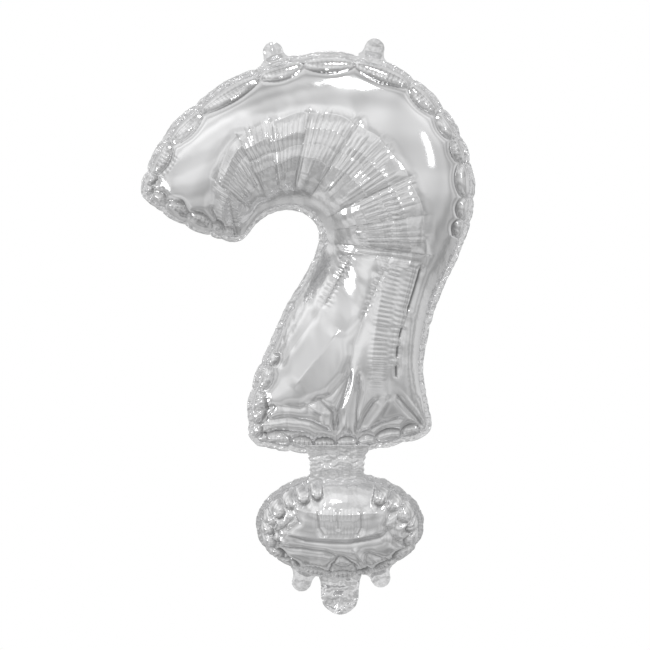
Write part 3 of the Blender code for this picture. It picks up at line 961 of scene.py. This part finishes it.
def hook_relief(places, film, front):
    """(height, sideways shift, painted shade in the colour, how slack) of the hook's film at each place, in mm."""
    rng = np.random.default_rng(31 if front else 32)
    along, away, out = weld_coordinates(places, film)
    cells, total = loop_marks(film.target, HOOK_PINCHES)
    height, swell, painted_shade = cell_relief(along, away, cells, total, rng, 9.0, 1.8)
    within = eased(away / 3)
    fan, fan_painted_shade, slack = fan_relief(places, rng)
    for rise, shade in (
        fold_relief(places, HOOK_FOLDS), ladder_relief(places, HOOK_LADDERS, rng), (fan, fan_painted_shade),
    ):
        height += within * rise
        painted_shade = np.maximum(painted_shade, within * shade)
    return height, out * swell[:, None], painted_shade, np.maximum(slack, eased(1.4 - away / 10))


def hook_wrinkled(places):
    """Which places of the hook's film have wrinkles that need a fine mesh."""
    d = places - FAN_MIDDLE
    far, angle = np.linalg.norm(d, axis=1), np.degrees(np.arctan2(d[:, 1], d[:, 0]))
    bearings, reaches = np.array(FAN_REACH, float).T
    out = np.interp(angle, bearings, reaches)
    near = (far > 30) & (far < out + 3) & (angle > bearings[0] - 2) & (angle < bearings[-1])
    for points, _, width, _ in HOOK_LADDERS:
        near |= along_line(places, points)[0] < width * 1.3
    return near


def dot_wrinkled(places):
    near = np.zeros(len(places), bool)
    for points, _, width, _ in DOT_LADDERS:
        near |= along_line(places, points)[0] < width * 1.3
    return near


def dot_relief(places, film, front):
    """The same for the dot's film."""
    rng = np.random.default_rng(41 if front else 42)
    along, away, out = weld_coordinates(places, film)
    cells, total = loop_marks(film.target, DOT_PINCHES)
    height, swell, painted_shade = cell_relief(along, away, cells, total, rng, 12.0, 3.2)
    within = eased(away / 3)
    for rise, shade in (fold_relief(places, DOT_FOLDS), ladder_relief(places, DOT_LADDERS, rng)):
        height += within * rise
        painted_shade = np.maximum(painted_shade, within * shade)
    return height, out * swell[:, None], painted_shade, eased(1.6 - away / 12)


def new_object(name, points, faces, finish):
    mesh = bpy.data.meshes.new(name)
    mesh.from_pydata((np.asarray(points, float)).tolist(), [], np.asarray(faces).tolist())
    mesh.shade_smooth()
    mesh.materials.append(finish)
    piece = bpy.data.objects.new(name, mesh)
    bpy.context.scene.collection.objects.link(piece)
    return piece


def film_piece(name, film, front, relief, finish, place=None):
    """One side of a blown up film as a finished mesh, with the relief of its folds and wrinkles."""
    n = film.weld_count
    at = film.front_at if front else film.back_at
    points = np.vstack([film.place[:n], film.place[at : at + film.inner_count]])
    flat = np.vstack([film.outline, film.flat[film.front_at : film.back_at]])
    faces = film.side if front else film.side[:, ::-1]
    points, faces, flat = finer_mesh(points, faces, flat)
    height, shift, painted_shade, slack = relief(points[:, [0, 2]], film, front)
    points = points + point_normals(points, faces) * height[:, None]
    points[:, [0, 2]] += shift
    points = points * MM
    if place is not None:
        points = points @ np.array(place.to_3x3()).T + np.array(place.translation)
    piece = new_object(name, points, faces, finish)
    # The fold attribute carries painted shade, by which the finish darkens the film's colour.
    for name, values in (("slack", slack), ("fold", np.clip(painted_shade, 0, 1))):
        layer = piece.data.attributes.new(name, "FLOAT", "POINT")
        layer.data.foreach_set("value", values.astype(np.float32))
    return piece


def margin_piece(name, film, margin, relief, finish, settings, place=None):
    """The crimped margin: a thin ribbon along the weld, crumpled along its length. margin is in mm."""
    n = film.weld_count
    weld = film.place[:n]
    _, shift, _, _ = relief(weld[:, [0, 2]], film, True)
    line = weld[:, [0, 2]] + shift
    out = smoothed(outward(line), 2)
    out /= np.linalg.norm(out, axis=1)[:, None]
    rng = np.random.default_rng(51)
    rows = 4
    lines = []
    for row in range(rows + 1):
        share = row / rows
        wave = smoothed(rng.normal(0, 1, n), 0.8) + 1.5 * smoothed(rng.normal(0, 1, n), 4)
        ruffle = smoothed(rng.normal(0, 1, n), 1.2) * 0.25 * share
        edge = line + out * (margin * share + ruffle)[:, None]
        lines.append(np.stack([edge[:, 0], weld[:, 1] + 0.45 * wave * share, edge[:, 1]], axis=1))
    points = np.vstack(lines) * MM
    if place is not None:
        points = points @ np.array(place.to_3x3()).T + np.array(place.translation)
    i = np.arange(n)
    j = (i + 1) % n
    faces = np.vstack([np.stack([r * n + i, r * n + j, (r + 1) * n + j, (r + 1) * n + i], 1) for r in range(rows)])
    piece = new_object(name, points, faces, finish)
    crumple(piece, settings.crinkle_height * 0.6, settings.crinkle_size, 5, finish)
    return piece


# Geometry nodes


def crumple_tree():
    """Geometry nodes that crumple a film and give it its finish."""
    tree = bpy.data.node_groups.get("Crumpled film")
    if tree:
        return tree
    tree = bpy.data.node_groups.new("Crumpled film", "GeometryNodeTree")
    sockets = tree.interface
    sockets.new_socket("Geometry", in_out="INPUT", socket_type="NodeSocketGeometry")
    for name, kind in (("Height", "Float"), ("Size", "Float"), ("Seed", "Float"), ("Level", "Int")):
        sockets.new_socket(name, in_out="INPUT", socket_type="NodeSocket" + kind)
    sockets.new_socket("Finish", in_out="INPUT", socket_type="NodeSocketMaterial")
    sockets.new_socket("Geometry", in_out="OUTPUT", socket_type="NodeSocketGeometry")
    node, link = tree.nodes.new, tree.links.new
    start, end = node("NodeGroupInput"), node("NodeGroupOutput")
    cut = node("GeometryNodeSubdivideMesh")
    link(start.outputs["Geometry"], cut.inputs["Mesh"])
    link(start.outputs["Level"], cut.inputs["Level"])
    scale = node("ShaderNodeMath")
    scale.operation = "DIVIDE"
    scale.inputs[0].default_value = 1.0
    link(start.outputs["Size"], scale.inputs[1])
    noise = node("ShaderNodeTexNoise")
    noise.noise_dimensions = "4D"
    noise.inputs["Detail"].default_value = 1.0
    noise.inputs["Roughness"].default_value = 0.35
    link(node("GeometryNodeInputPosition").outputs[0], noise.inputs["Vector"])
    link(start.outputs["Seed"], noise.inputs["W"])
    link(scale.outputs[0], noise.inputs["Scale"])
    centre = node("ShaderNodeVectorMath")
    centre.operation = "SUBTRACT"
    centre.inputs[1].default_value = (0.5, 0.5, 0.5)
    link(noise.outputs["Color"], centre.inputs[0])
    grow = node("ShaderNodeVectorMath")
    grow.operation = "SCALE"
    link(centre.outputs[0], grow.inputs[0])
    double = node("ShaderNodeMath")
    double.operation = "MULTIPLY"
    double.inputs[1].default_value = 4.0
    link(start.outputs["Height"], double.inputs[0])
    link(double.outputs[0], grow.inputs["Scale"])
    shift = node("GeometryNodeSetPosition")
    link(cut.outputs["Mesh"], shift.inputs["Geometry"])
    link(grow.outputs[0], shift.inputs["Offset"])
    real = node("GeometryNodeRealizeInstances")
    link(shift.outputs["Geometry"], real.inputs["Geometry"])
    paint = node("GeometryNodeSetMaterial")
    link(real.outputs["Geometry"], paint.inputs["Geometry"])
    link(start.outputs["Finish"], paint.inputs["Material"])
    link(paint.outputs["Geometry"], end.inputs["Geometry"])
    return tree


def crumple(piece, height, size, seed, finish, level=1, thickness=0.00025):
    """Crumples a piece, makes it a thin closed wall and leaves it a plain mesh."""
    tree = crumple_tree()
    nodes = piece.modifiers.new("Crumpled", "NODES")
    nodes.node_group = tree
    values = {"Height": height, "Size": size, "Seed": float(seed), "Level": level, "Finish": finish}
    for item in tree.interface.items_tree:
        if item.in_out == "INPUT" and item.name in values:
            nodes[item.identifier] = values[item.name]
    wall = piece.modifiers.new("Film", "SOLIDIFY")
    wall.thickness = thickness
    wall.offset = 0
    made = bpy.data.meshes.new_from_object(piece.evaluated_get(bpy.context.evaluated_depsgraph_get()))
    piece.modifiers.clear()
    piece.data = made
    made.name = piece.name
    made.shade_smooth()


# Tabs, tail and neck


def creased(u, v, seed, count, rise, width):
    """Height of random folds that cross a piece, u and v in mm."""
    rng = np.random.default_rng(seed)
    height = np.zeros_like(u)
    for _ in range(count):
        turn = rng.uniform(0, math.pi)
        across = (u - rng.choice(u.ravel())) * math.cos(turn) + (v - rng.choice(v.ravel())) * math.sin(turn)
        run = -u * math.sin(turn) + v * math.cos(turn)
        fade = 0.5 + 0.5 * np.sin(run / rng.uniform(2, 6) + rng.uniform(0, 6))
        height += rise * rng.uniform(-1, 1) * fade * np.clip(1 - np.abs(across) / width, 0, 1) ** 1.3
    return height


def lug_frame(joint, node, root_way):
    """(fold point, along the fold, down the lug, out of it, back along the film it grows from)."""
    fold = Vector(JOINTS[joint]["pos_m"])
    along = Vector(JOINTS[joint]["axis"]).normalized()
    low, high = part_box(node)
    middle = (Vector(low) + Vector(high)) / 2 - fold
    down = (middle - along * middle.dot(along)).normalized()
    if along.x < 0:
        along = -along
    out = along.cross(down)
    if out.y > 0:
        out = -out
    return fold, along, down, out, root_way


def lug_points(width, length, root, flare, columns, rows):
    """A lug of film laid flat as (across, down, grid faces), in mm. down is below nought at its root."""
    v = np.repeat(np.linspace(-root, length, rows + 1)[:, None], columns + 1, axis=1)
    u = np.repeat(np.linspace(-1, 1, columns + 1)[None], rows + 1, axis=0)
    rounding = np.clip(1 - (length - v) / (width / 2), 0, 1)
    half = width / 2 * np.sqrt(np.maximum(1 - rounding**2, 0.002))
    half = half + flare * np.exp(-np.clip(v + 0.5, 0, None) / (length * 0.16))
    faces = []
    for j in range(rows):
        for i in range(columns):
            a = j * (columns + 1) + i
            faces.append((a, a + 1, a + columns + 2, a + columns + 1))
    return u * half, v, faces


def lug_piece(name, frame_of_lug, size, height, finish, settings, bodies, thickness=0.00028):
    """Makes a lug and crumples it.

    size is (width, length, root, flare) in mm and height is a function of the flat grid.
    """
    fold, along, down, out, back = frame_of_lug
    width, length, root, flare = size
    u, v, faces = lug_points(width, length, root, flare, 30, 40)
    lift = height(u, v)
    points = []
    for x, drop, up in zip(u.ravel(), v.ravel(), lift.ravel()):
        way = down * max(drop, 0) + back * max(-drop, 0)
        points.append(fold + (along * float(x) + way + out * float(up)) * MM)
    piece = new_object(name, points, faces, finish)
    crumple(piece, settings.crinkle_height * 0.35, settings.crinkle_size, 9, finish, 1, thickness)
    held, free, node, slot = bodies
    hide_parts(node)
    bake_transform(piece)
    return piece


# Rings of the neck: distance below the fold, half width and half thickness, in mm.
NECK_RINGS = [
    (-15.5, 20.5, 5.5), (-12.5, 19.5, 3.6), (-9.0, 17.8, 2.2), (-4.5, 16.9, 1.7), (0.0, 16.7, 1.5),
    (4.0, 17.2, 1.9), (7.5, 18.6, 3.2), (10.5, 20.0, 5.0),
]
NECK_WELDS = (-9.2, 1.9, 10.0)  # lines of weld down the neck, in mm from its middle


def neck_points(rows=64, around=120):
    """The neck as a flattened tube that bends at the fold, in metres, and its faces."""
    down, half, thick = np.array(NECK_RINGS).T
    s = np.linspace(down[0], down[-1], rows)
    turn = np.linspace(0, 2 * math.pi, around, endpoint=False)
    s, turn = np.meshgrid(s, turn, indexing="ij")
    flatness = np.sign(np.sin(turn)) * np.abs(np.sin(turn)) ** 0.55
    x = np.cos(turn) * np.interp(s, down, half)
    y = -flatness * np.interp(s, down, thick)
    side = -np.sign(y)
    bulk = np.abs(flatness)
    welds = sum(np.clip(1 - np.abs(x - line - 0.4 * np.sin(s / 3)) / 2.2, 0, 1) ** 1.5 for line in NECK_WELDS)
    lift = -0.9 * welds * bulk
    for k, amount in enumerate((0.75, 0.5)):
        folds = creased(np.where(side > 0, x, 60 - x), s, 71 + k, 26, amount, 3.2 - k)
        lift += folds * (0.25 + 0.75 * bulk)
    rows_of = rung(s / 2.6 + 0.35 * np.sin(x / 2.3) + 0.2 * np.sin(x / 0.9))
    lift += 0.28 * rows_of * bulk
    y -= lift * side
    x = x + 0.35 * np.sin(s * 1.7 + 2) * np.abs(np.cos(turn)) ** 6 * np.sign(np.cos(turn))
    bend = DOT_TILT * eased((s + 2) / 4)
    run = np.clip(s, 0, None)
    out = np.stack([
        NECK_FOLD.x / MM + x,
        y * np.cos(bend) + run * math.sin(DOT_TILT),
        NECK_FOLD.z / MM - np.minimum(s, 0) - run * math.cos(DOT_TILT) + y * np.sin(bend) * 0.5,
    ], axis=-1)
    faces = []
    for j in range(rows - 1):
        for i in range(around):
            a, b = j * around + i, j * around + (i + 1) % around
            faces.append((a, a + around, b + around, b))
    faces.append(tuple(range(around)))
    faces.append(tuple(range((rows - 1) * around, rows * around))[::-1])
    return out.reshape(-1, 3) * MM, faces


# Materials


def film_group():
    """Shader nodes for handled film: a roughness mask and a normal that follow its crumples."""
    group = bpy.data.node_groups.get("Handled film")
    if group:
        return group
    group = bpy.data.node_groups.new("Handled film", "ShaderNodeTree")
    sockets = group.interface
    for name, value in (("Crumple", 0.3), ("Size", 3.0), ("Depth", 0.0002), ("Gloss", 0.1)):
        sockets.new_socket(name, in_out="INPUT", socket_type="NodeSocketFloat").default_value = value
    sockets.new_socket("Roughness", in_out="OUTPUT", socket_type="NodeSocketFloat")
    sockets.new_socket("Normal", in_out="OUTPUT", socket_type="NodeSocketVector")
    node, link = group.nodes.new, group.links.new
    start, end = node("NodeGroupInput"), node("NodeGroupOutput")
    place = node("ShaderNodeTexCoord").outputs["Object"]
    folds = node("ShaderNodeTexVoronoi")
    folds.feature = "F1"
    link(place, folds.inputs["Vector"])
    link(start.outputs["Size"], folds.inputs["Scale"])
    broad = node("ShaderNodeTexNoise")
    link(place, broad.inputs["Vector"])
    broad.inputs["Scale"].default_value = 45
    broad.inputs["Detail"].default_value = 2
    mixed = node("ShaderNodeMath")
    mixed.operation = "MULTIPLY_ADD"
    link(folds.outputs["Distance"], mixed.inputs[0])
    link(start.outputs["Crumple"], mixed.inputs[1])
    soft = node("ShaderNodeMath")
    soft.operation = "MULTIPLY"
    link(broad.outputs[0], soft.inputs[0])
    soft.inputs[1].default_value = 0.35
    link(soft.outputs[0], mixed.inputs[2])
    bump = node("ShaderNodeBump")
    bump.inputs["Strength"].default_value = 1.0
    link(start.outputs["Depth"], bump.inputs["Distance"])
    link(mixed.outputs[0], bump.inputs["Height"])
    link(bump.outputs[0], end.inputs["Normal"])
    rough = node("ShaderNodeMath")
    rough.operation = "MULTIPLY_ADD"
    link(broad.outputs[0], rough.inputs[0])
    rough.inputs[1].default_value = 0.05
    link(start.outputs["Gloss"], rough.inputs[2])
    link(rough.outputs[0], end.inputs["Roughness"])
    return group


def film_finish(name, colour, gloss, crumple_amount, size, depth, slack=False):
    """Metallised film. With slack, the crumples grow where the mesh says that it is slack, and shade is painted
    into its colour where the mesh's fold attribute says a fold closes.
    """
    finish = bpy.data.materials.new(name)
    finish.use_nodes = True
    nodes, link = finish.node_tree.nodes, finish.node_tree.links.new
    shader = nodes["Principled BSDF"]
    shader.inputs["Base Color"].default_value = (*colour, 1)
    shader.inputs["Metallic"].default_value = 1.0
    group = nodes.new("ShaderNodeGroup")
    group.node_tree = film_group()
    group.inputs["Crumple"].default_value = crumple_amount
    group.inputs["Size"].default_value = size
    group.inputs["Depth"].default_value = depth
    group.inputs["Gloss"].default_value = gloss
    if slack:
        where = nodes.new("ShaderNodeAttribute")
        where.attribute_name = "slack"
        curve = nodes.new("ShaderNodeMath")
        curve.operation = "MULTIPLY"
        curve.inputs[1].default_value = crumple_amount
        link(where.outputs["Fac"], curve.inputs[0])
        link(curve.outputs[0], group.inputs["Crumple"])
        # Painted shade: the base colour is darkened towards a share of itself by the fold attribute.
        fold = nodes.new("ShaderNodeAttribute")
        fold.attribute_name = "fold"
        shade = nodes.new("ShaderNodeMix")
        shade.data_type = "RGBA"
        shade.inputs[6].default_value = (*colour, 1)
        shade.inputs[7].default_value = (*(c * PAINTED_FOLD_SHADE for c in colour), 1)
        link(fold.outputs["Fac"], shade.inputs[0])
        link(shade.outputs[2], shader.inputs["Base Color"])
    link(group.outputs["Roughness"], shader.inputs["Roughness"])
    link(group.outputs["Normal"], shader.inputs["Normal"])
    return finish


PAINTED_FOLD_SHADE = 0.3  # painted shade: the film's colour deep in a closed fold, as a share of its own colour


def finishes(settings):
    """The four finishes, made once."""
    made = {m.name: m for m in bpy.data.materials}
    if "Mirror film" not in made:
        film, weld = tuple(settings.film_colour), tuple(settings.weld_colour)
        rough = settings.weld_roughness
        film_finish("Mirror film", film, settings.film_roughness, 0.5, 420, 0.00012, slack=True)
        film_finish("Crimped weld", weld, rough, 1.0, 520, 0.0003)
        film_finish("Lug film", film, settings.film_roughness + 0.03, 0.6, 300, 0.0002)
        film_finish("Crumpled tail", film, settings.film_roughness + 0.02, 1.0, 260, 0.0004)
    return {key: bpy.data.materials[name] for key, name in (
        ("film", "Mirror film"), ("weld", "Crimped weld"), ("lug", "Lug film"), ("tail", "Crumpled tail"))}


# Operators


class BALLOON_OT_hook(bpy.types.Operator):
    """Cut, weld and inflate the hook"""

    bl_idname = "balloon.hook"
    bl_label = "Hook"

    def execute(self, context):
        settings = context.scene.balloon
        finish = finishes(settings.foil)
        flat, target = hook_pattern(settings.hook)
        cells = ((4.5, 2.8, 1.75, 1.36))
        margin = settings.hook.margin / MM
        film = blown_up(flat, target, cells, hook_wrinkled)
        front = film_piece("hook_front_film", film, True, hook_relief, finish["film"])
        back = film_piece("hook_back_film", film, False, hook_relief, finish["film"])
        weld = margin_piece("hook_margin", film, margin, hook_relief, finish["weld"], settings.foil)
        for piece, node in ((front, "hook_front_panel"), (back, "hook_back_panel"), (weld, "hook_seam")):
            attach(piece, "hook_body")
            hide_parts(node)
        return {"FINISHED"}


class BALLOON_OT_dot(bpy.types.Operator):
    """Cut, weld and inflate the dot"""

    bl_idname = "balloon.dot"
    bl_label = "Dot"

    def execute(self, context):
        settings = context.scene.balloon
        finish = finishes(settings.foil)
        flat, target = dot_pattern(settings.dot)
        cells = ((3.4, 2.2, 1.4, 0.95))
        film = blown_up(flat, target, cells, dot_wrinkled)
        place = Matrix.Translation(NECK_FOLD) @ Matrix.Rotation(DOT_TILT, 4, "X")
        front = film_piece("dot_front_film", film, True, dot_relief, finish["film"], place)
        back = film_piece("dot_back_film", film, False, dot_relief, finish["film"], place)
        margin = settings.dot.margin / MM
        weld = margin_piece("dot_margin", film, margin, dot_relief, finish["weld"], settings.foil, place)
        for piece, node in ((front, "dot_front_panel"), (back, "dot_back_panel"), (weld, "dot_seam")):
            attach(piece, "dot_body")
            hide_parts(node)
        return {"FINISHED"}


class BALLOON_OT_neck(bpy.types.Operator):
    """Make the creased neck between the hook and the dot"""

    bl_idname = "balloon.neck"
    bl_label = "Neck"

    def execute(self, context):
        foil = context.scene.balloon.foil
        points, faces = neck_points()
        mesh = bpy.data.meshes.new("neck_film")
        mesh.from_pydata([tuple(p) for p in points], [], faces)
        work = bmesh.new()
        work.from_mesh(mesh)
        bmesh.ops.recalc_face_normals(work, faces=work.faces)
        bmesh.ops.triangulate(work, faces=[f for f in work.faces if len(f.verts) > 4])
        work.to_mesh(mesh)
        work.free()
        mesh.shade_smooth()
        mesh.materials.append(finishes(foil)["tail"])
        piece = bpy.data.objects.new("neck_film", mesh)
        context.scene.collection.objects.link(piece)
        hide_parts("neck")
        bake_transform(piece)
        return {"FINISHED"}


class BALLOON_OT_tabs(bpy.types.Operator):
    """Make the four tabs of film that the balloon hangs by"""

    bl_idname = "balloon.tabs"
    bl_label = "Tabs"

    def execute(self, context):
        settings = context.scene.balloon
        finish = finishes(settings.foil)["lug"]
        up = Vector((0, -math.sin(DOT_TILT), math.cos(DOT_TILT)))
        width, root = settings.tabs.width / MM, settings.tabs.root / MM
        for name, joint, node, held, free, way, length, curl in (
            ("top_tab_left_film", "top_tab_left_flap", "top_tab_left", "hook_body", "left_top_tab",
             Vector((0, 0, -1)), 11.0, 1.0),
            ("top_tab_right_film", "top_tab_right_flap", "top_tab_right", "hook_body", "right_top_tab",
             Vector((0, 0, -1)), 11.0, -0.6),
            ("bottom_tab_left_film", "bottom_tab_left_flap", "bottom_tab_left", "dot_body",
             "left_bottom_tab", up, 12.4, 0.4),
            ("bottom_tab_right_film", "bottom_tab_right_flap", "bottom_tab_right", "dot_body",
             "right_bottom_tab", up, 10.5, -0.4),
        ):
            place = lug_frame(joint, node, way)
            height = tab_height(curl, len(name), node.startswith("top"))
            size = (width, length, root, settings.tabs.flare / MM)
            bodies = (held, free, node, "silver_tab")
            lug_piece(name, place, size, height, finish, settings.foil, bodies)
        return {"FINISHED"}


def tab_height(curl, seed, rolled):
    """The height of a tab off its plane: a roll towards its back edges and a few soft folds."""
    def height(u, v):
        part = np.clip(u / 6, -1, 1)
        free = eased((v + 1) / 4)
        roll = (1.9 if rolled else 0.9) * (1 - part**2) * free
        twist = curl * part * free * np.clip(v / 8, 0, 1.2)
        tip = -0.5 * curl * np.clip(v / 8, 0, 1.5) ** 2
        return roll + twist + tip + creased(u, v, seed, 7, 0.3, 2.6) * (0.3 + 0.7 * free)
    return height


class BALLOON_OT_tail(bpy.types.Operator):
    """Make the crumpled filling tail under the dot"""

    bl_idname = "balloon.tail"
    bl_label = "Tail"

    def execute(self, context):
        settings = context.scene.balloon
        finish = finishes(settings.foil)["tail"]
        up = Vector((0, -math.sin(DOT_TILT), math.cos(DOT_TILT)))
        place = lug_frame("tail_flap", "inflation_tail", up)
        size = (settings.tabs.tail_width / MM, settings.tabs.tail_length / MM, settings.tabs.root / MM, 2.0)
        bodies = ("dot_body", "tail", "inflation_tail", "silver_tail")
        lug_piece("inflation_tail_film", place, size, tail_height, finish, settings.foil, bodies, 0.0005)
        return {"FINISHED"}


def tail_height(u, v):
    """The tail's crumples: long folds that the filling channel leaves, and small ones all over."""
    free = eased((v + 2) / 5)
    long_folds = 0.7 * np.cos(u / 2.6 + 0.4 * np.sin(v / 4)) * free
    big = creased(u, v, 81, 22, 1.3, 4.0)
    small = creased(u, v, 82, 46, 0.8, 1.9)
    rim = -1.2 * eased((np.abs(u) - 8) / 4)
    return (long_folds + big + small + rim) * (0.25 + 0.75 * free)


class BALLOON_OT_stage(bpy.types.Operator):
    """Set up the floor, the studio light and the camera"""

    bl_idname = "balloon.stage"
    bl_label = "Stage"

    def execute(self, context):
        settings = context.scene.balloon.stage
        make_floor(settings)
        make_camera(settings)
        make_world()
        make_lights()
        context.scene.view_settings.view_transform = "Standard"
        return {"FINISHED"}


def make_camera(settings):
    data = bpy.data.cameras.new("camera")
    camera = bpy.data.objects.new("camera", data)
    bpy.context.scene.collection.objects.link(camera)
    target = Vector(VIEW_MIDDLE)
    camera.location = target - Vector((0, settings.distance, 0))
    camera.rotation_euler = (math.radians(90), 0, 0)
    data.sensor_width = 36
    data.lens = 36 * settings.distance / settings.view_width
    data.clip_end = 50
    bpy.context.scene.camera = camera


VIEW_MIDDLE = (0.0006, 0.0, -0.1714)


def make_floor(settings):
    mesh = bpy.data.meshes.new("floor")
    turn = np.linspace(0, 2 * math.pi, 96, endpoint=False)
    rings = [0.0, 0.4, 0.8, 1.2, 1.6, 2.0]
    points = [(0, 0, 0)] + [(r * math.cos(t), r * math.sin(t), 0) for r in rings[1:] for t in turn]
    faces = [(0, 1 + i, 1 + (i + 1) % 96) for i in range(96)]
    for k in range(len(rings) - 2):
        a, b = 1 + k * 96, 1 + (k + 1) * 96
        faces += [(a + i, b + i, b + (i + 1) % 96, a + (i + 1) % 96) for i in range(96)]
    mesh.from_pydata(points, [], faces)
    mesh.transform(Matrix.Translation((0, 0, -settings.floor_drop)))
    floor = bpy.data.objects.new("floor", mesh)
    bpy.context.scene.collection.objects.link(floor)
    paint = bpy.data.materials.new("Pale floor")
    paint.use_nodes = True
    nodes, link = paint.node_tree.nodes, paint.node_tree.links.new
    shader = nodes["Principled BSDF"]
    shader.inputs["Roughness"].default_value = 0.9
    shader.inputs["Base Color"].default_value = (0.88, 0.88, 0.88, 1)
    length = nodes.new("ShaderNodeVectorMath")
    length.operation = "LENGTH"
    flatten = nodes.new("ShaderNodeVectorMath")
    flatten.operation = "MULTIPLY"
    flatten.inputs[1].default_value = (1, 1, 0)
    link(nodes.new("ShaderNodeTexCoord").outputs["Object"], flatten.inputs[0])
    link(flatten.outputs[0], length.inputs[0])
    fade = nodes.new("ShaderNodeMapRange")
    fade.inputs["From Min"].default_value = 0.7
    fade.inputs["From Max"].default_value = 1.9
    fade.inputs["To Min"].default_value = 1.0
    fade.inputs["To Max"].default_value = 0.0
    link(length.outputs["Value"], fade.inputs["Value"])
    link(fade.outputs["Result"], shader.inputs["Alpha"])
    mesh.materials.append(paint)
    floor.visible_glossy = False


def make_world():
    """White to the eye, and to the film a studio with bright screens and darker gaps between them."""
    world = bpy.data.worlds.new("studio")
    bpy.context.scene.world = world
    world.use_nodes = True
    tree = world.node_tree
    tree.nodes.clear()
    node, link = tree.nodes.new, tree.links.new
    split = node("ShaderNodeSeparateXYZ")
    link(node("ShaderNodeTexCoord").outputs["Generated"], split.inputs[0])
    room, white = node("ShaderNodeBackground"), node("ShaderNodeBackground")
    ramps = []
    for axis, tones in (("Z", ROOM_HEIGHTS), ("X", ROOM_SIDES), ("Y", ROOM_DEPTHS)):
        place = node("ShaderNodeMapRange")
        place.inputs["From Min"].default_value = -1.0
        link(split.outputs[axis], place.inputs["Value"])
        ramp = node("ShaderNodeValToRGB")
        link(place.outputs["Result"], ramp.inputs[0])
        ramp.color_ramp.interpolation = "EASE"
        stops = ramp.color_ramp.elements
        while len(stops) > 1:
            stops.remove(stops[-1])
        for k, (at, tone) in enumerate(tones):
            stop = stops[0] if k == 0 else stops.new((at + 1) / 2)
            stop.position = (at + 1) / 2
            stop.color = (tone, tone, tone, 1)
        ramps.append(ramp)
    link(ramps[0].outputs["Color"], room.inputs["Color"])
    factor = node("ShaderNodeMath")
    factor.operation = "MULTIPLY"
    link(ramps[1].outputs["Color"], factor.inputs[0])
    link(ramps[2].outputs["Color"], factor.inputs[1])
    link(factor.outputs[0], room.inputs["Strength"])
    white.inputs["Color"].default_value = (1, 1, 1, 1)
    mix, end = node("ShaderNodeMixShader"), node("ShaderNodeOutputWorld")
    link(node("ShaderNodeLightPath").outputs["Is Camera Ray"], mix.inputs[0])
    link(room.outputs[0], mix.inputs[1])
    link(white.outputs[0], mix.inputs[2])
    link(mix.outputs[0], end.inputs["Surface"])


# Brightness of the studio by height, from straight down at -1 to straight up at 1, and then a factor
# on it by side, from the far left at -1 to the far right at 1.
ROOM_HEIGHTS = [
    (-1.0, 0.52), (-0.9, 0.44), (-0.75, 0.62), (-0.6, 0.66), (-0.45, 0.50), (-0.28, 0.60), (-0.08, 0.80),
    (0.06, 0.84), (0.2, 0.72), (0.36, 0.70), (0.52, 0.88), (0.68, 0.95), (0.85, 0.76), (1.0, 0.66),
]
ROOM_SIDES = [
    (-1.0, 0.85), (-0.8, 1.08), (-0.6, 1.10), (-0.45, 0.94), (-0.3, 0.90), (-0.18, 1.08), (-0.05, 0.96),
    (0.08, 1.06), (0.2, 0.86), (0.35, 0.98), (0.5, 0.84), (0.7, 0.98), (0.85, 0.94), (1.0, 0.78),
]
# And by depth, from the camera's side at -1 to the far side at 1.
ROOM_DEPTHS = [
    (-1.0, 1.0), (-0.7, 1.02), (-0.45, 0.94), (-0.25, 1.12), (-0.08, 0.84), (0.1, 1.08), (0.3, 0.72),
    (0.5, 0.98), (0.75, 0.86), (1.0, 0.95),
]

# Soft boxes as (name, place, what it faces, its width and height, watts).
SOFT_BOXES = [
    ("top box", (0.16, -0.12, 1.35), (0.0, 0.0, -0.05), (0.26, 0.5), 4),
    ("left box", (-1.5, -0.25, -0.32), (-0.08, 0.0, -0.09), (0.4, 0.4), 1.6),
    ("front box", (-0.35, -2.0, 0.85), (0.0, 0.0, -0.15), (0.12, 0.12), 0.8),
    ("right box", (1.4, -0.9, 0.5), (0.0, 0.0, -0.15), (0.14, 0.5), 0.8),
]


def make_lights():
    for name, place, aim, size, power in SOFT_BOXES:
        data = bpy.data.lights.new(name, "AREA")
        data.shape = "RECTANGLE"
        data.size, data.size_y = size
        data.energy = power
        light = bpy.data.objects.new(name, data)
        light.location = place
        light.rotation_euler = (Vector(aim) - Vector(place)).to_track_quat("-Z", "Y").to_euler()
        bpy.context.scene.collection.objects.link(light)


class BALLOON_PT_panel(bpy.types.Panel):
    bl_label = "Foil balloon"
    bl_idname = "BALLOON_PT_panel"
    bl_space_type = "VIEW_3D"
    bl_region_type = "UI"
    bl_category = "Foil balloon"

    def draw(self, context):
        for operator in OPERATORS:
            self.layout.operator(operator.bl_idname)
        settings = context.scene.balloon
        for group in (settings.foil, settings.hook, settings.dot, settings.tabs, settings.stage):
            column = self.layout.column(align=True)
            for name in group.__annotations__:
                column.prop(group, name)


OPERATORS = (
    BALLOON_OT_hook, BALLOON_OT_dot, BALLOON_OT_neck, BALLOON_OT_tabs, BALLOON_OT_tail, BALLOON_OT_stage,
)
CLASSES = (
    FoilSettings, HookSettings, DotSettings, TabSettings, StageSettings, BalloonSettings, *OPERATORS,
    BALLOON_PT_panel,
)


def register():
    for cls in CLASSES:
        bpy.utils.register_class(cls)
    bpy.types.Scene.balloon = PointerProperty(type=BalloonSettings)


def unregister():
    del bpy.types.Scene.balloon
    for cls in reversed(CLASSES):
        bpy.utils.unregister_class(cls)


def main():
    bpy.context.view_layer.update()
    register()
    bpy.ops.balloon.hook()
    bpy.ops.balloon.dot()
    bpy.ops.balloon.neck()
    bpy.ops.balloon.tabs()
    bpy.ops.balloon.tail()
    bpy.ops.balloon.stage()


if __name__ == "__main__":
    main()
